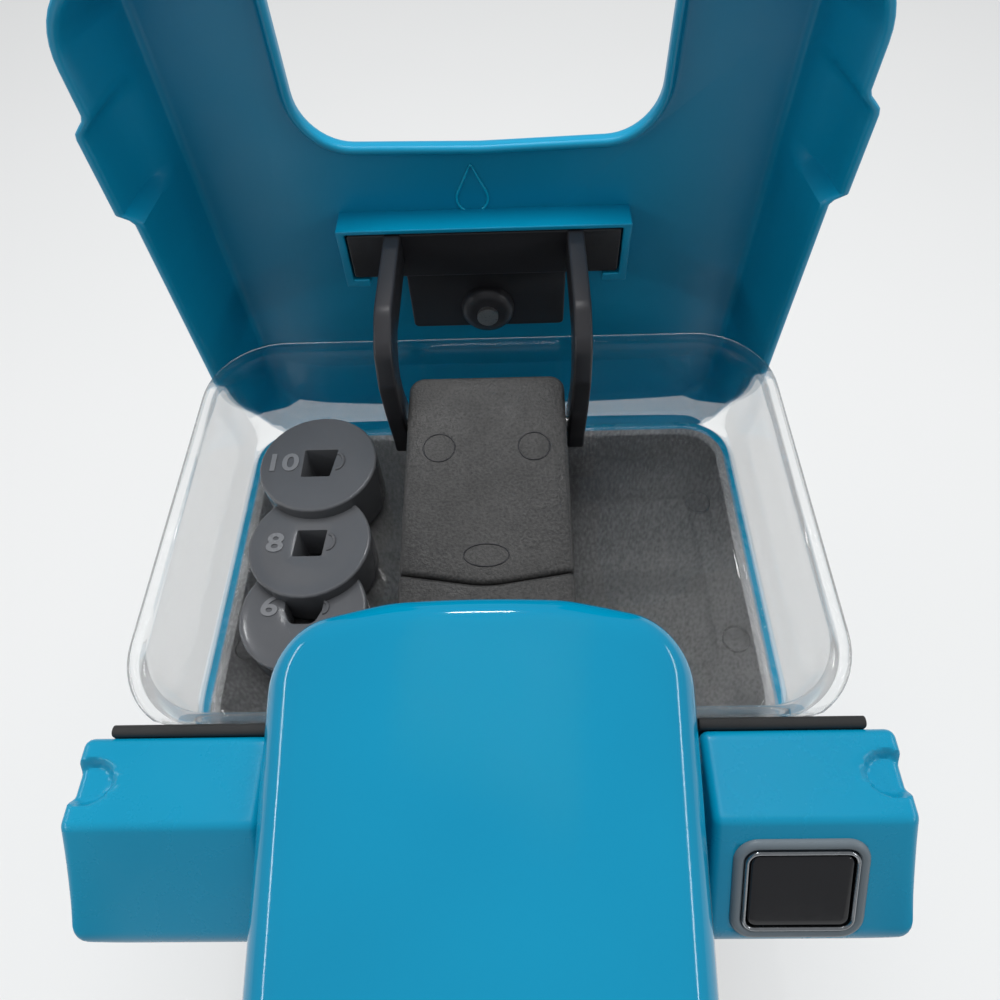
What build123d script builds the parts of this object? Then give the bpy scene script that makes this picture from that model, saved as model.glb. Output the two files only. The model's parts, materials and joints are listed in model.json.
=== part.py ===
from build123d import *
import math
import os

os.makedirs("parts", exist_ok=True)

# Pod coffee maker, millimetres. X to the right, Y to the back, Z up.
# The origin is the middle of the flat face under the feet.

# Body and base
body_half = 92.0
column_half = 81.0
base_half = 86.0
column_front = -20.0
column_back = 96.0
base_front = -124.0
foot_height = 3.0
foot_radius = 7.0
base_thick = 6.0
wall = 3.0
base_top = foot_height + base_thick
deck_top = 192.5
deck_thick = 4.0
deck_bottom = deck_top - deck_thick

# Water tank and its lid
tank_wall = 2.5
floor_half = 80.0
tank_depth = 29.5
tank_front = -17.0
floor_back = 95.5
rim_back = 107.0
rim_half = 88.0
rim_flange = 3.0
floor_z = deck_top + tank_wall
rim_z = floor_z + tank_depth

# Lid: drawn open, standing up behind the tank
pin_y = 80.0
pin_z = 212.0
pin_radius = 2.5
lid_wall = 2.5
lid_reach = 45.0
lid_skirt = 31.5
lid_half = 86.0
lid_flare = 5.0
lid_overhang = 40.0
lid_length = 160.0
lid_notch_half = 48.0
lid_notch_gap = 69.0
lid_inner_y = pin_y + lid_reach
lid_outer_y = lid_inner_y + lid_wall
lid_rear_z = pin_z - lid_overhang
lid_front_z = lid_rear_z + lid_length
notch_z = pin_z + lid_notch_gap
rear_skirt = 15.0
arm_gap = 1.5
arm_thick = 5.0

# Tower in the middle of the tank
tower_half = 23.0
tower_front = -13.5
tower_back = 84.5
tower_top_front = 217.5
tower_slope = 0.124
tower_wall = 2.5
seam_y = 19.0
seam_drop = 3.5
seam_gap = 0.3

# Brew head
head_half = 44.5
head_front_half = 40.0
head_back = -2.0
head_front = -127.5
head_top = 259.0
head_slope = 0.18
head_crown = 7.0
head_bottom = 203.0
head_wall = 3.0
head_pivot_y = -11.0
head_pivot_z = 244.0
chassis_thick = 4.0
lug_radius = 6.5
lug_thick = 4.0

# Shoulders and sloping front
slot_half = 48.5
shoulder_top = 224.0
shoulder_front = -39.5
fascia_foot_y = -60.0
fascia_foot_z = 200.0
housing_bottom = 184.0
housing_back = column_front

# Pod chamber
pod_y = -72.0
frame_half = 34.0
frame_front = -118.0
frame_back = -22.0
frame_top = rim_z
chassis_bottom = frame_top + 0.3
pod_radius = 25.5
holder_wall = 2.9
holder_gap = 0.3
spout_radius = 11.0
spout_bottom = 163.0
spout_bore = 3.0

# Brew button on the sloping front
button_across = 0.437
button_x = slot_half + button_across * (body_half - slot_half)
button_share = 0.54
button_width = 21.8
button_height = 17.8
button_gap = 0.4
button_travel = 1.5
button_depth = 8.0
frame_rim = 0.9
bezel_rim = 1.0
bezel_flange = 1.2

# Drip tray
tray_half = 62.0
tray_front = -122.0
tray_back = -26.0
tray_height = 18.0
tray_wall = 2.0
tray_gap = 0.3
grate_thick = 2.5
slot_count = 11

# Clearances
run_gap = 0.05
seat_gap = 0.3


def block(x0, x1, y0, y1, z0, z1, mode=Mode.ADD):
    with Locations(((x0 + x1) / 2, (y0 + y1) / 2, (z0 + z1) / 2)):
        Box(x1 - x0, y1 - y0, z1 - z0, mode=mode)


def post(x, y, z0, z1, radius, mode=Mode.ADD):
    with Locations((x, y, (z0 + z1) / 2)):
        Cylinder(radius, z1 - z0, mode=mode)


def cross_rod(x0, x1, y, z, radius, mode=Mode.ADD):
    with Locations(((x0 + x1) / 2, y, z)):
        Cylinder(radius, x1 - x0, rotation=(0, 90, 0), mode=mode)


def long_rod(x, y0, y1, z, radius, mode=Mode.ADD):
    with Locations((x, (y0 + y1) / 2, z)):
        Cylinder(radius, y1 - y0, rotation=(90, 0, 0), mode=mode)


def rounded(half, y0, y1, radius):
    with Locations((0, (y0 + y1) / 2)):
        RectangleRounded(2 * half, y1 - y0, radius)


def save(name, builder):
    builder.part.label = name
    export_step(builder.part, f"parts/{name}.step")


# Base plate with the two rails that flank the drip tray
rail_inner = tray_half + tray_gap
rail_top = base_top + tray_height
with BuildPart() as base_plate:
    with BuildSketch(Plane.XY.offset(foot_height)):
        rounded(base_half, base_front, column_back, 18)
    extrude(amount=base_thick)
    with BuildSketch(Plane.XY.offset(base_top)):
        rounded(base_half, base_front, column_back, 18)
        with Locations((0, (base_front + column_back) / 2)):
            Rectangle(2 * rail_inner, column_back - base_front, mode=Mode.SUBTRACT)
        with Locations((0, (column_front - seat_gap + column_back) / 2)):
            Rectangle(2 * base_half, column_back - column_front + seat_gap, mode=Mode.SUBTRACT)
    extrude(amount=tray_height)
save("base_plate", base_plate)

# Four rubber feet
foot_inset = 20.0
foot_spread = base_half - foot_inset
with BuildPart() as feet:
    for side in (-1, 1):
        for foot_y in (base_front + foot_inset, column_back - foot_inset):
            post(side * foot_spread, foot_y, 0, foot_height, foot_radius)
save("feet", feet)

# Drip tray and its grate
tray_bottom = base_top + tray_gap
tray_top = tray_bottom + tray_height
grate_bottom = tray_top - grate_thick - seat_gap
with BuildPart() as drip_tray:
    with BuildSketch(Plane.XY.offset(tray_bottom)):
        rounded(tray_half, tray_front, tray_back, 6)
    extrude(amount=tray_height)
    with BuildSketch(Plane.XY.offset(tray_bottom + tray_wall)):
        rounded(tray_half - 2 * tray_wall, tray_front + 2 * tray_wall, tray_back - 2 * tray_wall, 4)
    extrude(amount=tray_height, mode=Mode.SUBTRACT)
    with BuildSketch(Plane.XY.offset(grate_bottom - seat_gap)):
        rounded(tray_half - tray_wall, tray_front + tray_wall, tray_back - tray_wall, 5)
    extrude(amount=tray_height, mode=Mode.SUBTRACT)
save("drip_tray", drip_tray)

grate_half = tray_half - tray_wall - seat_gap
grate_front = tray_front + tray_wall + seat_gap
grate_back = tray_back - tray_wall - seat_gap
slot_pitch = (grate_back - grate_front - 16) / slot_count
with BuildPart() as drip_grate:
    with BuildSketch(Plane.XY.offset(grate_bottom)):
        rounded(grate_half, grate_front, grate_back, 4.5)
    extrude(amount=grate_thick)
    with BuildSketch(Plane.XY.offset(grate_bottom)):
        with Locations((0, (grate_front + grate_back) / 2)):
            with GridLocations(grate_half - 2, slot_pitch, 2, slot_count):
                SlotOverall(grate_half - 12, slot_pitch * 0.55)
    extrude(amount=grate_thick, mode=Mode.SUBTRACT)
save("drip_grate", drip_grate)

# Rear column: one shell round the deck, open below and above, with a window for the rear cover
cover_half = 62.0
cover_low = 24.0
cover_high = 178.0
with BuildPart() as rear_housing:
    with BuildSketch(Plane.XY.offset(base_top)):
        rounded(column_half, column_front, column_back, 16)
    extrude(amount=deck_top - base_top)
    with BuildSketch(Plane.XY.offset(base_top)):
        rounded(column_half - wall, column_front + wall, column_back - wall, 13)
    extrude(amount=deck_top - base_top, mode=Mode.SUBTRACT)
    block(-cover_half, cover_half, column_back - wall - 1, column_back + 1, cover_low, cover_high, Mode.SUBTRACT)
save("rear_housing", rear_housing)

# Rear cover, with the hole for the cord gland
gland_x = 45.0
gland_z = 52.0
gland_radius = 8.0
with BuildPart() as rear_cover:
    block(
        -cover_half + seat_gap, cover_half - seat_gap, column_back - wall, column_back,
        cover_low + seat_gap, cover_high - seat_gap,
    )
    fillet(rear_cover.edges().filter_by(Axis.Y), 4)
    for row in range(6):
        block(-40, 10, column_back - wall - 1, column_back + 1, 60 + 8 * row, 63 + 8 * row, Mode.SUBTRACT)
    long_rod(gland_x, column_back - wall - 1, column_back + 1, gland_z, gland_radius, Mode.SUBTRACT)
    for side in (-1, 1):
        for screw_z in (cover_low + 8, cover_high - 8):
            long_rod(side * (cover_half - 8), column_back - wall - 1, column_back + 1, screw_z, 1.6, Mode.SUBTRACT)
save("rear_cover", rear_cover)

# Straps behind the cover that take its screws
with BuildPart() as cover_straps:
    for screw_z in (cover_low + 8, cover_high - 8):
        block(
            -cover_half - 1.5, cover_half + 1.5, column_back - wall - 4, column_back - wall,
            screw_z - 5, screw_z + 5,
        )
    for side in (-1, 1):
        for screw_z in (cover_low + 8, cover_high - 8):
            long_rod(side * (cover_half - 8), column_back - wall - 5, column_back, screw_z, 1.3, Mode.SUBTRACT)
save("cover_straps", cover_straps)

with BuildPart() as cover_screws:
    for side in (-1, 1):
        for screw_z in (cover_low + 8, cover_high - 8):
            long_rod(side * (cover_half - 8), column_back - wall - 4, column_back, screw_z, 1.25)
            long_rod(side * (cover_half - 8), column_back, column_back + 1.6, screw_z, 3)
save("cover_screws", cover_screws)

with BuildPart() as cord_gland:
    long_rod(gland_x, column_back - wall - 4, column_back + 2, gland_z, gland_radius - seat_gap)
    long_rod(gland_x, column_back, column_back + 3, gland_z, gland_radius + 3)
    long_rod(gland_x, column_back - wall - 6, column_back + 4, gland_z, 3.8, Mode.SUBTRACT)
save("cord_gland", cord_gland)

# Black panel on the front of the column, behind the cup
with BuildPart() as bay_panel:
    with BuildSketch(Plane.XZ.offset(-column_front)):
        with Locations((0, (rail_top + housing_bottom) / 2)):
            RectangleRounded(120, housing_bottom - rail_top - 8, 10)
    extrude(amount=1.6)
save("bay_panel", bay_panel)

# Deck that closes the column and carries the tank
outlet_x = 32.0
outlet_y = -6.0
riser_x = -8.0
riser_y = 6.0
tube_radius = 3.5
tube_gap = 0.3
deck_screw_spots = [
    (side * deck_x, deck_y) for side in (-1, 1) for deck_x, deck_y in ((66, 62), (70, 15))
]
with BuildPart() as deck_plate:
    with BuildSketch(Plane.XY.offset(deck_bottom)):
        rounded(column_half - wall, column_front + wall, column_back - wall, 13)
    extrude(amount=deck_thick)
    for spot in ((outlet_x, outlet_y), (riser_x, riser_y)):
        post(*spot, deck_bottom - 1, deck_top + 1, tube_radius + tube_gap, Mode.SUBTRACT)
    for spot in deck_screw_spots:
        post(*spot, deck_bottom - 1, deck_top + 1, 1.6, Mode.SUBTRACT)
        post(*spot, deck_top - 1.5, deck_top + 1, 4.0, Mode.SUBTRACT)
save("deck_plate", deck_plate)

with BuildPart() as deck_screws:
    for spot in deck_screw_spots:
        post(*spot, deck_bottom - 6, deck_top - 1.5, 1.5)
        post(*spot, deck_top - 1.5, deck_top, 3.7)
save("deck_screws", deck_screws)

# Bosses inside the column that the deck screws bite into
with BuildPart() as deck_bosses:
    for spot_x, spot_y in deck_screw_spots:
        side = math.copysign(1, spot_x)
        near = abs(spot_x) - 4
        far = column_half - wall
        block(*sorted((side * near, side * far)), spot_y - 4, spot_y + 4, deck_bottom - 20, deck_bottom)
        post(spot_x, spot_y, deck_bottom - 12, deck_bottom + 1, 1.6, Mode.SUBTRACT)
save("deck_bosses", deck_bosses)

# Clear tank: a flared tub with an outward rim and a chimney for the riser
flare = rim_half - rim_flange - floor_half
with BuildPart() as tank:
    with BuildSketch(Plane.XY.offset(deck_top)):
        rounded(floor_half, tank_front, floor_back, 16)
    with BuildSketch(Plane.XY.offset(rim_z)):
        rounded(rim_half - rim_flange, tank_front, rim_back - rim_flange, 20)
    loft(ruled=True)
    with BuildSketch(Plane.XY.offset(rim_z - tank_wall)):
        rounded(rim_half, tank_front, rim_back, 22)
    extrude(amount=tank_wall)
    with BuildSketch(Plane.XY.offset(floor_z)):
        rounded(floor_half - tank_wall, tank_front + tank_wall, floor_back - tank_wall, 13.5)
    with BuildSketch(Plane.XY.offset(rim_z + 0.01)):
        rounded(
            rim_half - rim_flange - tank_wall, tank_front + tank_wall,
            rim_back - rim_flange - tank_wall, 17.5,
        )
    loft(ruled=True, mode=Mode.SUBTRACT)
    post(riser_x, riser_y, floor_z - 1, floor_z + 14, tube_radius + tube_gap + 2)
    for spot in ((outlet_x, outlet_y), (riser_x, riser_y)):
        post(*spot, deck_top - 1, floor_z + 20, tube_radius + tube_gap, Mode.SUBTRACT)
save("tank", tank)

# Outlet strainer in the tank floor
with BuildPart() as outlet_strainer:
    post(outlet_x, outlet_y, floor_z, floor_z + 5, 7)
    post(outlet_x, outlet_y, floor_z - 1, floor_z + 3.4, 5.6, Mode.SUBTRACT)
    for angle in range(0, 180, 45):
        with Locations(Location((outlet_x, outlet_y, floor_z + 1.5), (0, 0, angle))):
            Box(20, 1, 3.8, mode=Mode.SUBTRACT)
save("outlet_strainer", outlet_strainer)

# Seal strip between the tank and the shoulders
with BuildPart() as tank_seal:
    for side in (-1, 1):
        block(
            *sorted((side * slot_half, side * (rim_half - 2))), housing_back, tank_front,
            rim_z - 9, rim_z + 0.3,
        )
save("tank_seal", tank_seal)

# Fill gauge: three stepped discs, each with a mug-shaped hole
gauge_x = -52.0
gauge_radius = 17.8
gauge_step = 4.0
gauge_low = 10.0
gauge_spots = [(20.0, gauge_low), (40.0, gauge_low + gauge_step), (66.0, gauge_low + 2 * gauge_step)]
mug_sizes = [(11.5, 6.5), (9.5, 8.0), (9.5, 10.5)]
with BuildPart() as fill_gauge:
    for spot_y, height in gauge_spots:
        post(gauge_x, spot_y, floor_z, floor_z + height, gauge_radius)
    for (spot_y, height), (mug_width, mug_height) in zip(gauge_spots, mug_sizes):
        for size_x, size_y, shift in ((mug_width, mug_height, 0), (2.2, mug_height * 0.55, mug_width / 2 + 2.6)):
            with Locations((gauge_x + shift, spot_y, floor_z + height / 2)):
                Box(size_x, size_y, height + 1, mode=Mode.SUBTRACT)
save("fill_gauge", fill_gauge)

# Tower: a rear shell and a nose that meet on a shallow chevron seam
tower_top_back = tower_top_front + tower_slope * (tower_back - tower_front)
tower_profile = [
    (tower_front, floor_z), (tower_back, floor_z), (tower_back, tower_top_back), (tower_front, tower_top_front),
]
hollow_top = tower_top_front - tower_wall
hollow_back = tower_back - tower_wall
hollow_front = tower_front + tower_wall
hollow_profile = [
    (hollow_front, floor_z - 1), (hollow_back, floor_z - 1),
    (hollow_back, hollow_top + tower_slope * (hollow_back - tower_front)), (hollow_front, hollow_top),
]
seam_side = seam_y + seam_drop
pin_inner = tower_half - 8
boss_radius = pin_radius + 2
with BuildPart() as tower_body:
    with BuildSketch(Plane.YZ.offset(-tower_half)):
        Polygon(*tower_profile, align=None)
    extrude(amount=2 * tower_half)
    fillet(tower_body.edges().filter_by(Axis.Z).sort_by(Axis.Y)[-2:], 5)
    with BuildSketch(Plane.YZ.offset(-tower_half + tower_wall)):
        Polygon(*hollow_profile, align=None)
    extrude(amount=2 * (tower_half - tower_wall), mode=Mode.SUBTRACT)
    with BuildSketch(Plane.XY.offset(floor_z - 1)):
        Polygon(
            (-tower_half - 1, tower_front - 1), (tower_half + 1, tower_front - 1),
            (tower_half + 1, seam_side), (0, seam_y), (-tower_half - 1, seam_side), align=None,
        )
    extrude(amount=60, mode=Mode.SUBTRACT)
    for side in (-1, 1):
        cross_rod(
            *sorted((side * pin_inner, side * (tower_half - tower_wall))), pin_y, pin_z, boss_radius,
        )
        cross_rod(
            *sorted((side * (pin_inner - 1), side * (tower_half + 1))), pin_y, pin_z,
            pin_radius + run_gap, Mode.SUBTRACT,
        )
save("tower_body", tower_body)

# Nose of the tower, with two posts inside the brew head that carry its hinge pins
with BuildPart() as tower_nose:
    with BuildSketch(Plane.YZ.offset(-tower_half)):
        Polygon(*tower_profile, align=None)
    extrude(amount=2 * tower_half)
    with BuildSketch(Plane.YZ.offset(-tower_half + tower_wall)):
        Polygon(*hollow_profile, align=None)
    extrude(amount=2 * (tower_half - tower_wall), mode=Mode.SUBTRACT)
    with BuildSketch(Plane.XY.offset(floor_z - 1)):
        Polygon(
            (-tower_half - 1, tower_back + 1), (-tower_half - 1, seam_side - seam_gap),
            (0, seam_y - seam_gap), (tower_half + 1, seam_side - seam_gap),
            (tower_half + 1, tower_back + 1), align=None,
        )
    extrude(amount=60, mode=Mode.SUBTRACT)
    for side in (-1, 1):
        block(
            *sorted((side * pin_inner, side * (tower_half - tower_wall))), tower_front,
            head_pivot_y + boss_radius - 0.5, tower_top_front - tower_wall + 0.5, head_pivot_z,
        )
        cross_rod(
            *sorted((side * pin_inner, side * (tower_half - tower_wall))),
            head_pivot_y, head_pivot_z, boss_radius,
        )
        cross_rod(
            *sorted((side * (pin_inner - 1), side * (tower_half + 1))),
            head_pivot_y, head_pivot_z, pin_radius + run_gap, Mode.SUBTRACT,
        )
save("tower_nose", tower_nose)

# Steel pins of the two hinges, held in the tower
arm_inner = tower_half + arm_gap
arm_outer = arm_inner + arm_thick
with BuildPart() as lid_pins:
    for side in (-1, 1):
        cross_rod(*sorted((side * pin_inner, side * (arm_outer + 0.5))), pin_y, pin_z, pin_radius)
save("lid_pins", lid_pins)

lug_inner = tower_half + arm_gap
lug_outer = lug_inner + lug_thick
with BuildPart() as head_pins:
    for side in (-1, 1):
        cross_rod(
            *sorted((side * pin_inner, side * (lug_outer + 0.5))), head_pivot_y, head_pivot_z, pin_radius,
        )
save("head_pins", head_pins)

# Tank lid: a flared pan on its edge, with a deep notch for the brew head
lid_plane = Plane.XZ.offset(-lid_outer_y)
lid_inside = Plane.XZ.offset(-lid_inner_y)
lid_mid_z = (lid_rear_z + lid_front_z) / 2
flare_angle = math.degrees(math.atan2(lid_flare, lid_skirt))
socket_half = 41.0
socket_low = pin_z + 29.0
socket_high = pin_z + 45.0
socket_wall = 2.5
socket_depth = 3.0
flange_width = 2.5
flange_depth = 4.0
with BuildPart() as tank_lid:
    with BuildSketch(lid_plane):
        with Locations((0, lid_mid_z)):
            RectangleRounded(2 * lid_half, lid_length, 16)
    extrude(amount=lid_wall + lid_skirt, taper=-flare_angle)
    with BuildSketch(lid_inside):
        with Locations((0, lid_mid_z)):
            RectangleRounded(2 * (lid_half - lid_wall), lid_length - 2 * lid_wall, 14)
    extrude(amount=lid_skirt + 1, taper=-flare_angle, mode=Mode.SUBTRACT)
    with BuildSketch(Plane.YZ.offset(-body_half - 10)):
        Polygon(
            (lid_inner_y - lid_skirt - 5, lid_rear_z - 12), (lid_inner_y - rear_skirt, lid_rear_z - 12),
            (lid_inner_y - rear_skirt, lid_rear_z + 6), (lid_inner_y - lid_skirt, lid_rear_z + 44),
            (lid_inner_y - lid_skirt - 5, lid_rear_z + 44), align=None,
        )
    extrude(amount=2 * body_half + 20, mode=Mode.SUBTRACT)
    notch_top = lid_front_z + 20
    with BuildSketch(lid_inside):
        with Locations((0, (notch_z + notch_top) / 2)):
            RectangleRounded(2 * (lid_notch_half + flange_width), notch_top - notch_z + 2 * flange_width, 16)
        with Locations((0, lid_front_z - lid_wall + 60)):
            Rectangle(4 * lid_half, 120, mode=Mode.SUBTRACT)
    extrude(amount=flange_depth)
    with BuildSketch(lid_plane):
        with Locations((0, (notch_z + notch_top) / 2)):
            RectangleRounded(2 * lid_notch_half, notch_top - notch_z, 14)
    extrude(amount=lid_skirt + 10, mode=Mode.SUBTRACT)
    with BuildSketch(lid_inside):
        with Locations((0, (socket_low + socket_high) / 2)):
            Rectangle(2 * (socket_half + socket_wall), socket_high - socket_low + 2 * socket_wall)
            Rectangle(2 * socket_half, socket_high - socket_low, mode=Mode.SUBTRACT)
        with Locations((0, socket_low)):
            Rectangle(2 * arm_outer + 2, 4 * socket_wall, mode=Mode.SUBTRACT)
    extrude(amount=socket_depth)
save("tank_lid", tank_lid)

# Bracket under the lid, with the two goose-neck arms down to the pins
bar_half = socket_half - seat_gap
bar_low = socket_low + seat_gap
bar_high = socket_high - seat_gap
bar_depth = 9.0
leg_inner = arm_inner
web_low = pin_z + 6.0
web_depth = 6.0
boss_z = pin_z + 14.0
with BuildPart() as lid_bracket:
    block(-bar_half, bar_half, lid_inner_y - bar_depth, lid_inner_y, bar_low, bar_high)
    block(-arm_outer, arm_outer, lid_inner_y - web_depth, lid_inner_y, web_low, bar_low)
    block(
        -leg_inner, leg_inner, lid_inner_y - web_depth - 1, lid_inner_y + 1, web_low + 5, bar_low,
        Mode.SUBTRACT,
    )
    long_rod(0, lid_inner_y - bar_depth, lid_inner_y, boss_z, 9)
    for side in (-1, 1):
        with BuildSketch(Plane.YZ.offset(side * (arm_inner + arm_outer) / 2)):
            with BuildLine():
                Polyline(
                    (lid_inner_y - 1, bar_high), (pin_y + 2, bar_high), (pin_y - 7, bar_high - 6),
                    (pin_y - 10, bar_high - 16), (pin_y - 9, pin_z + 16), (pin_y - 6, pin_z),
                    (pin_y + 6, pin_z), (pin_y, pin_z + 18), (pin_y - 1, bar_low - 4),
                    (pin_y + 6, bar_low + 4), (lid_inner_y - 1, bar_low + 4), (lid_inner_y - 1, bar_high),
                )
            make_face()
            with Locations((pin_y, pin_z)):
                Circle(6)
        extrude(amount=arm_thick / 2, both=True)
        cross_rod(
            *sorted((side * (arm_inner - 1), side * (arm_outer + 1))), pin_y, pin_z,
            pin_radius + run_gap, Mode.SUBTRACT,
        )
    long_rod(0, lid_inner_y - bar_depth - 1, lid_inner_y + 1, boss_z, 1.6, Mode.SUBTRACT)
save("lid_bracket", lid_bracket)

with BuildPart() as bracket_screw:
    long_rod(0, lid_inner_y - bar_depth, lid_inner_y, boss_z, 1.5)
    long_rod(0, lid_inner_y - bar_depth - 2.2, lid_inner_y - bar_depth, boss_z, 3.4)
save("bracket_screw", bracket_screw)

# Front housing: two hollow shoulders, their sloping front and the floor between them
fascia_drop = shoulder_top - fascia_foot_z
fascia_run = shoulder_front - fascia_foot_y
fascia_length = math.hypot(fascia_drop, fascia_run)
fascia_normal = (0, -fascia_drop / fascia_length, fascia_run / fascia_length)
foot_round = 6.0
housing_profile = [
    (housing_back, housing_bottom), (housing_back, shoulder_top), (shoulder_front, shoulder_top),
    (fascia_foot_y, fascia_foot_z), (fascia_foot_y + foot_round, housing_bottom),
]
button_y = shoulder_front - fascia_run * button_share
button_z = shoulder_top - fascia_drop * button_share
button_plane = Plane(origin=(button_x, button_y, button_z), x_dir=(1, 0, 0), z_dir=fascia_normal)
frame_width = button_width + 2 * (button_gap + frame_rim)
frame_height = button_height + 2 * (button_gap + frame_rim)
bezel_width = frame_width + 2 * (run_gap + bezel_rim)
bezel_height = frame_height + 2 * (run_gap + bezel_rim)
bezel_sleeve = 6.0
with BuildPart() as front_housing:
    with BuildSketch(Plane.YZ.offset(-body_half)):
        Polygon(*housing_profile, align=None)
    extrude(amount=2 * body_half)
    with BuildSketch(Plane.YZ.offset(-body_half + wall)):
        Polygon(*housing_profile, align=None)
        offset(amount=-wall, kind=Kind.INTERSECTION)
    extrude(amount=2 * (body_half - wall), mode=Mode.SUBTRACT)
    for side in (-1, 1):
        with BuildSketch(Plane.YZ.offset(side * (slot_half + wall / 2))):
            Polygon(*housing_profile, align=None)
        extrude(amount=wall / 2, both=True)
    block(
        -slot_half, slot_half, fascia_foot_y - 10, column_back, housing_bottom + wall, shoulder_top + 10,
        Mode.SUBTRACT,
    )
    with BuildSketch(button_plane):
        RectangleRounded(bezel_width + 2 * run_gap, bezel_height + 2 * run_gap, 4)
    extrude(amount=10, both=True, mode=Mode.SUBTRACT)
    block(
        -frame_half, frame_half, frame_front, fascia_foot_y + foot_round + 1, housing_bottom,
        housing_bottom + wall,
    )
    post(0, pod_y, housing_bottom - 1, housing_bottom + wall + 1, spout_radius + 4, Mode.SUBTRACT)
save("front_housing", front_housing)

# Chrome strip under the right-hand front
trim_x0 = slot_half + 1.5
with BuildPart() as front_trim:
    block(
        trim_x0, trim_x0 + 17, fascia_foot_y + foot_round, fascia_foot_y + foot_round + 5,
        housing_bottom - 3.5, housing_bottom,
    )
    fillet(front_trim.edges().filter_by(Axis.X), 1)
save("front_trim", front_trim)

# Button in its silver frame and grey bezel, with its spring, switch and board
with BuildPart() as button_bezel:
    with BuildSketch(button_plane.offset(-bezel_sleeve)):
        RectangleRounded(bezel_width, bezel_height, 4)
    extrude(amount=bezel_sleeve)
    with BuildSketch(button_plane):
        RectangleRounded(bezel_width + 2.6, bezel_height + 2.6, 5)
    extrude(amount=bezel_flange)
    with BuildSketch(button_plane.offset(-bezel_sleeve)):
        RectangleRounded(frame_width + 2 * run_gap, frame_height + 2 * run_gap, 3)
    extrude(amount=bezel_sleeve + bezel_flange, mode=Mode.SUBTRACT)
save("button_bezel", button_bezel)

with BuildPart() as button_frame:
    with BuildSketch(button_plane.offset(-bezel_sleeve)):
        RectangleRounded(frame_width, frame_height, 3)
        RectangleRounded(button_width + 2 * button_gap, button_height + 2 * button_gap, 2.2, mode=Mode.SUBTRACT)
    extrude(amount=bezel_sleeve + bezel_flange + 0.3)
save("button_frame", button_frame)

spring_radius = 3.2
spring_seat = 4.0
button_low = bezel_flange - button_depth
switch_high = 1.4
board_top = button_low - button_travel - seat_gap - switch_high
board_thick = 1.6
board_inset = 2.0
with BuildPart() as brew_button:
    with BuildSketch(button_plane.offset(button_low)):
        RectangleRounded(button_width, button_height, 2)
    extrude(amount=button_depth)
    with BuildSketch(button_plane.offset(button_low)):
        Circle(spring_radius + 0.6)
    extrude(amount=spring_seat, mode=Mode.SUBTRACT)
save("brew_button", brew_button)

with BuildPart() as button_spring:
    with BuildSketch(button_plane.offset(board_top)):
        Circle(spring_radius)
        Circle(spring_radius - 0.7, mode=Mode.SUBTRACT)
    extrude(amount=spring_seat + switch_high)
save("button_spring", button_spring)

with BuildPart() as control_board:
    with BuildSketch(button_plane.offset(board_top - board_thick)):
        RectangleRounded(bezel_width - 2 * board_inset, bezel_height, 1)
    extrude(amount=board_thick)
save("control_board", control_board)

with BuildPart() as button_switch:
    with BuildSketch(button_plane.offset(board_top)):
        with Locations((bezel_width / 2 - 6, 0)):
            Rectangle(6, 6)
    extrude(amount=switch_high)
save("button_switch", button_switch)

# Posts that carry the board from the back of the bezel
with BuildPart() as board_posts:
    with BuildSketch(button_plane.offset(board_top)):
        for side_x in (-1, 1):
            for side_y in (-1, 1):
                with Locations((side_x * (bezel_width / 2 - 5), side_y * (bezel_height / 2 - 0.55))):
                    Rectangle(2.4, 1.0)
    extrude(amount=-bezel_sleeve - board_top)
save("board_posts", board_posts)

# Brew frame: the fixed block between the shoulders, with the pod chamber's bore
holder_radius = pod_radius + holder_wall
frame_bottom = housing_bottom + wall
holder_floor = frame_bottom + 2.0
with BuildPart() as brew_frame:
    block(-frame_half, frame_half, frame_front, frame_back, frame_bottom, frame_top)
    fillet(brew_frame.edges().filter_by(Axis.Z), 6)
    post(0, pod_y, holder_floor, frame_top + 1, holder_radius + holder_gap, Mode.SUBTRACT)
    post(0, pod_y, frame_bottom - 1, frame_top, spout_radius + holder_gap + 0.7, Mode.SUBTRACT)
save("brew_frame", brew_frame)

# Pod holder, which lifts out of the frame, and the needle in its floor
holder_top = frame_top - 1.0
cup_floor = holder_floor + 2.5
lower_needle_x = 15.0
with BuildPart() as pod_holder:
    post(0, pod_y, holder_floor, holder_top, holder_radius)
    post(0, pod_y, spout_bottom, holder_floor, spout_radius)
    post(0, pod_y, cup_floor, holder_top + 1, pod_radius, Mode.SUBTRACT)
    post(0, pod_y, spout_bottom - 1, cup_floor + 1, spout_bore, Mode.SUBTRACT)
    post(0, pod_y, spout_bottom - 1, spout_bottom + 18, spout_radius - 2, Mode.SUBTRACT)
save("pod_holder", pod_holder)

with BuildPart() as lower_needle:
    post(lower_needle_x, pod_y, cup_floor, cup_floor + 2, 3)
    with Locations((lower_needle_x, pod_y, cup_floor + 5.5)):
        Cone(1.6, 0.3, 7)
save("lower_needle", lower_needle)

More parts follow.
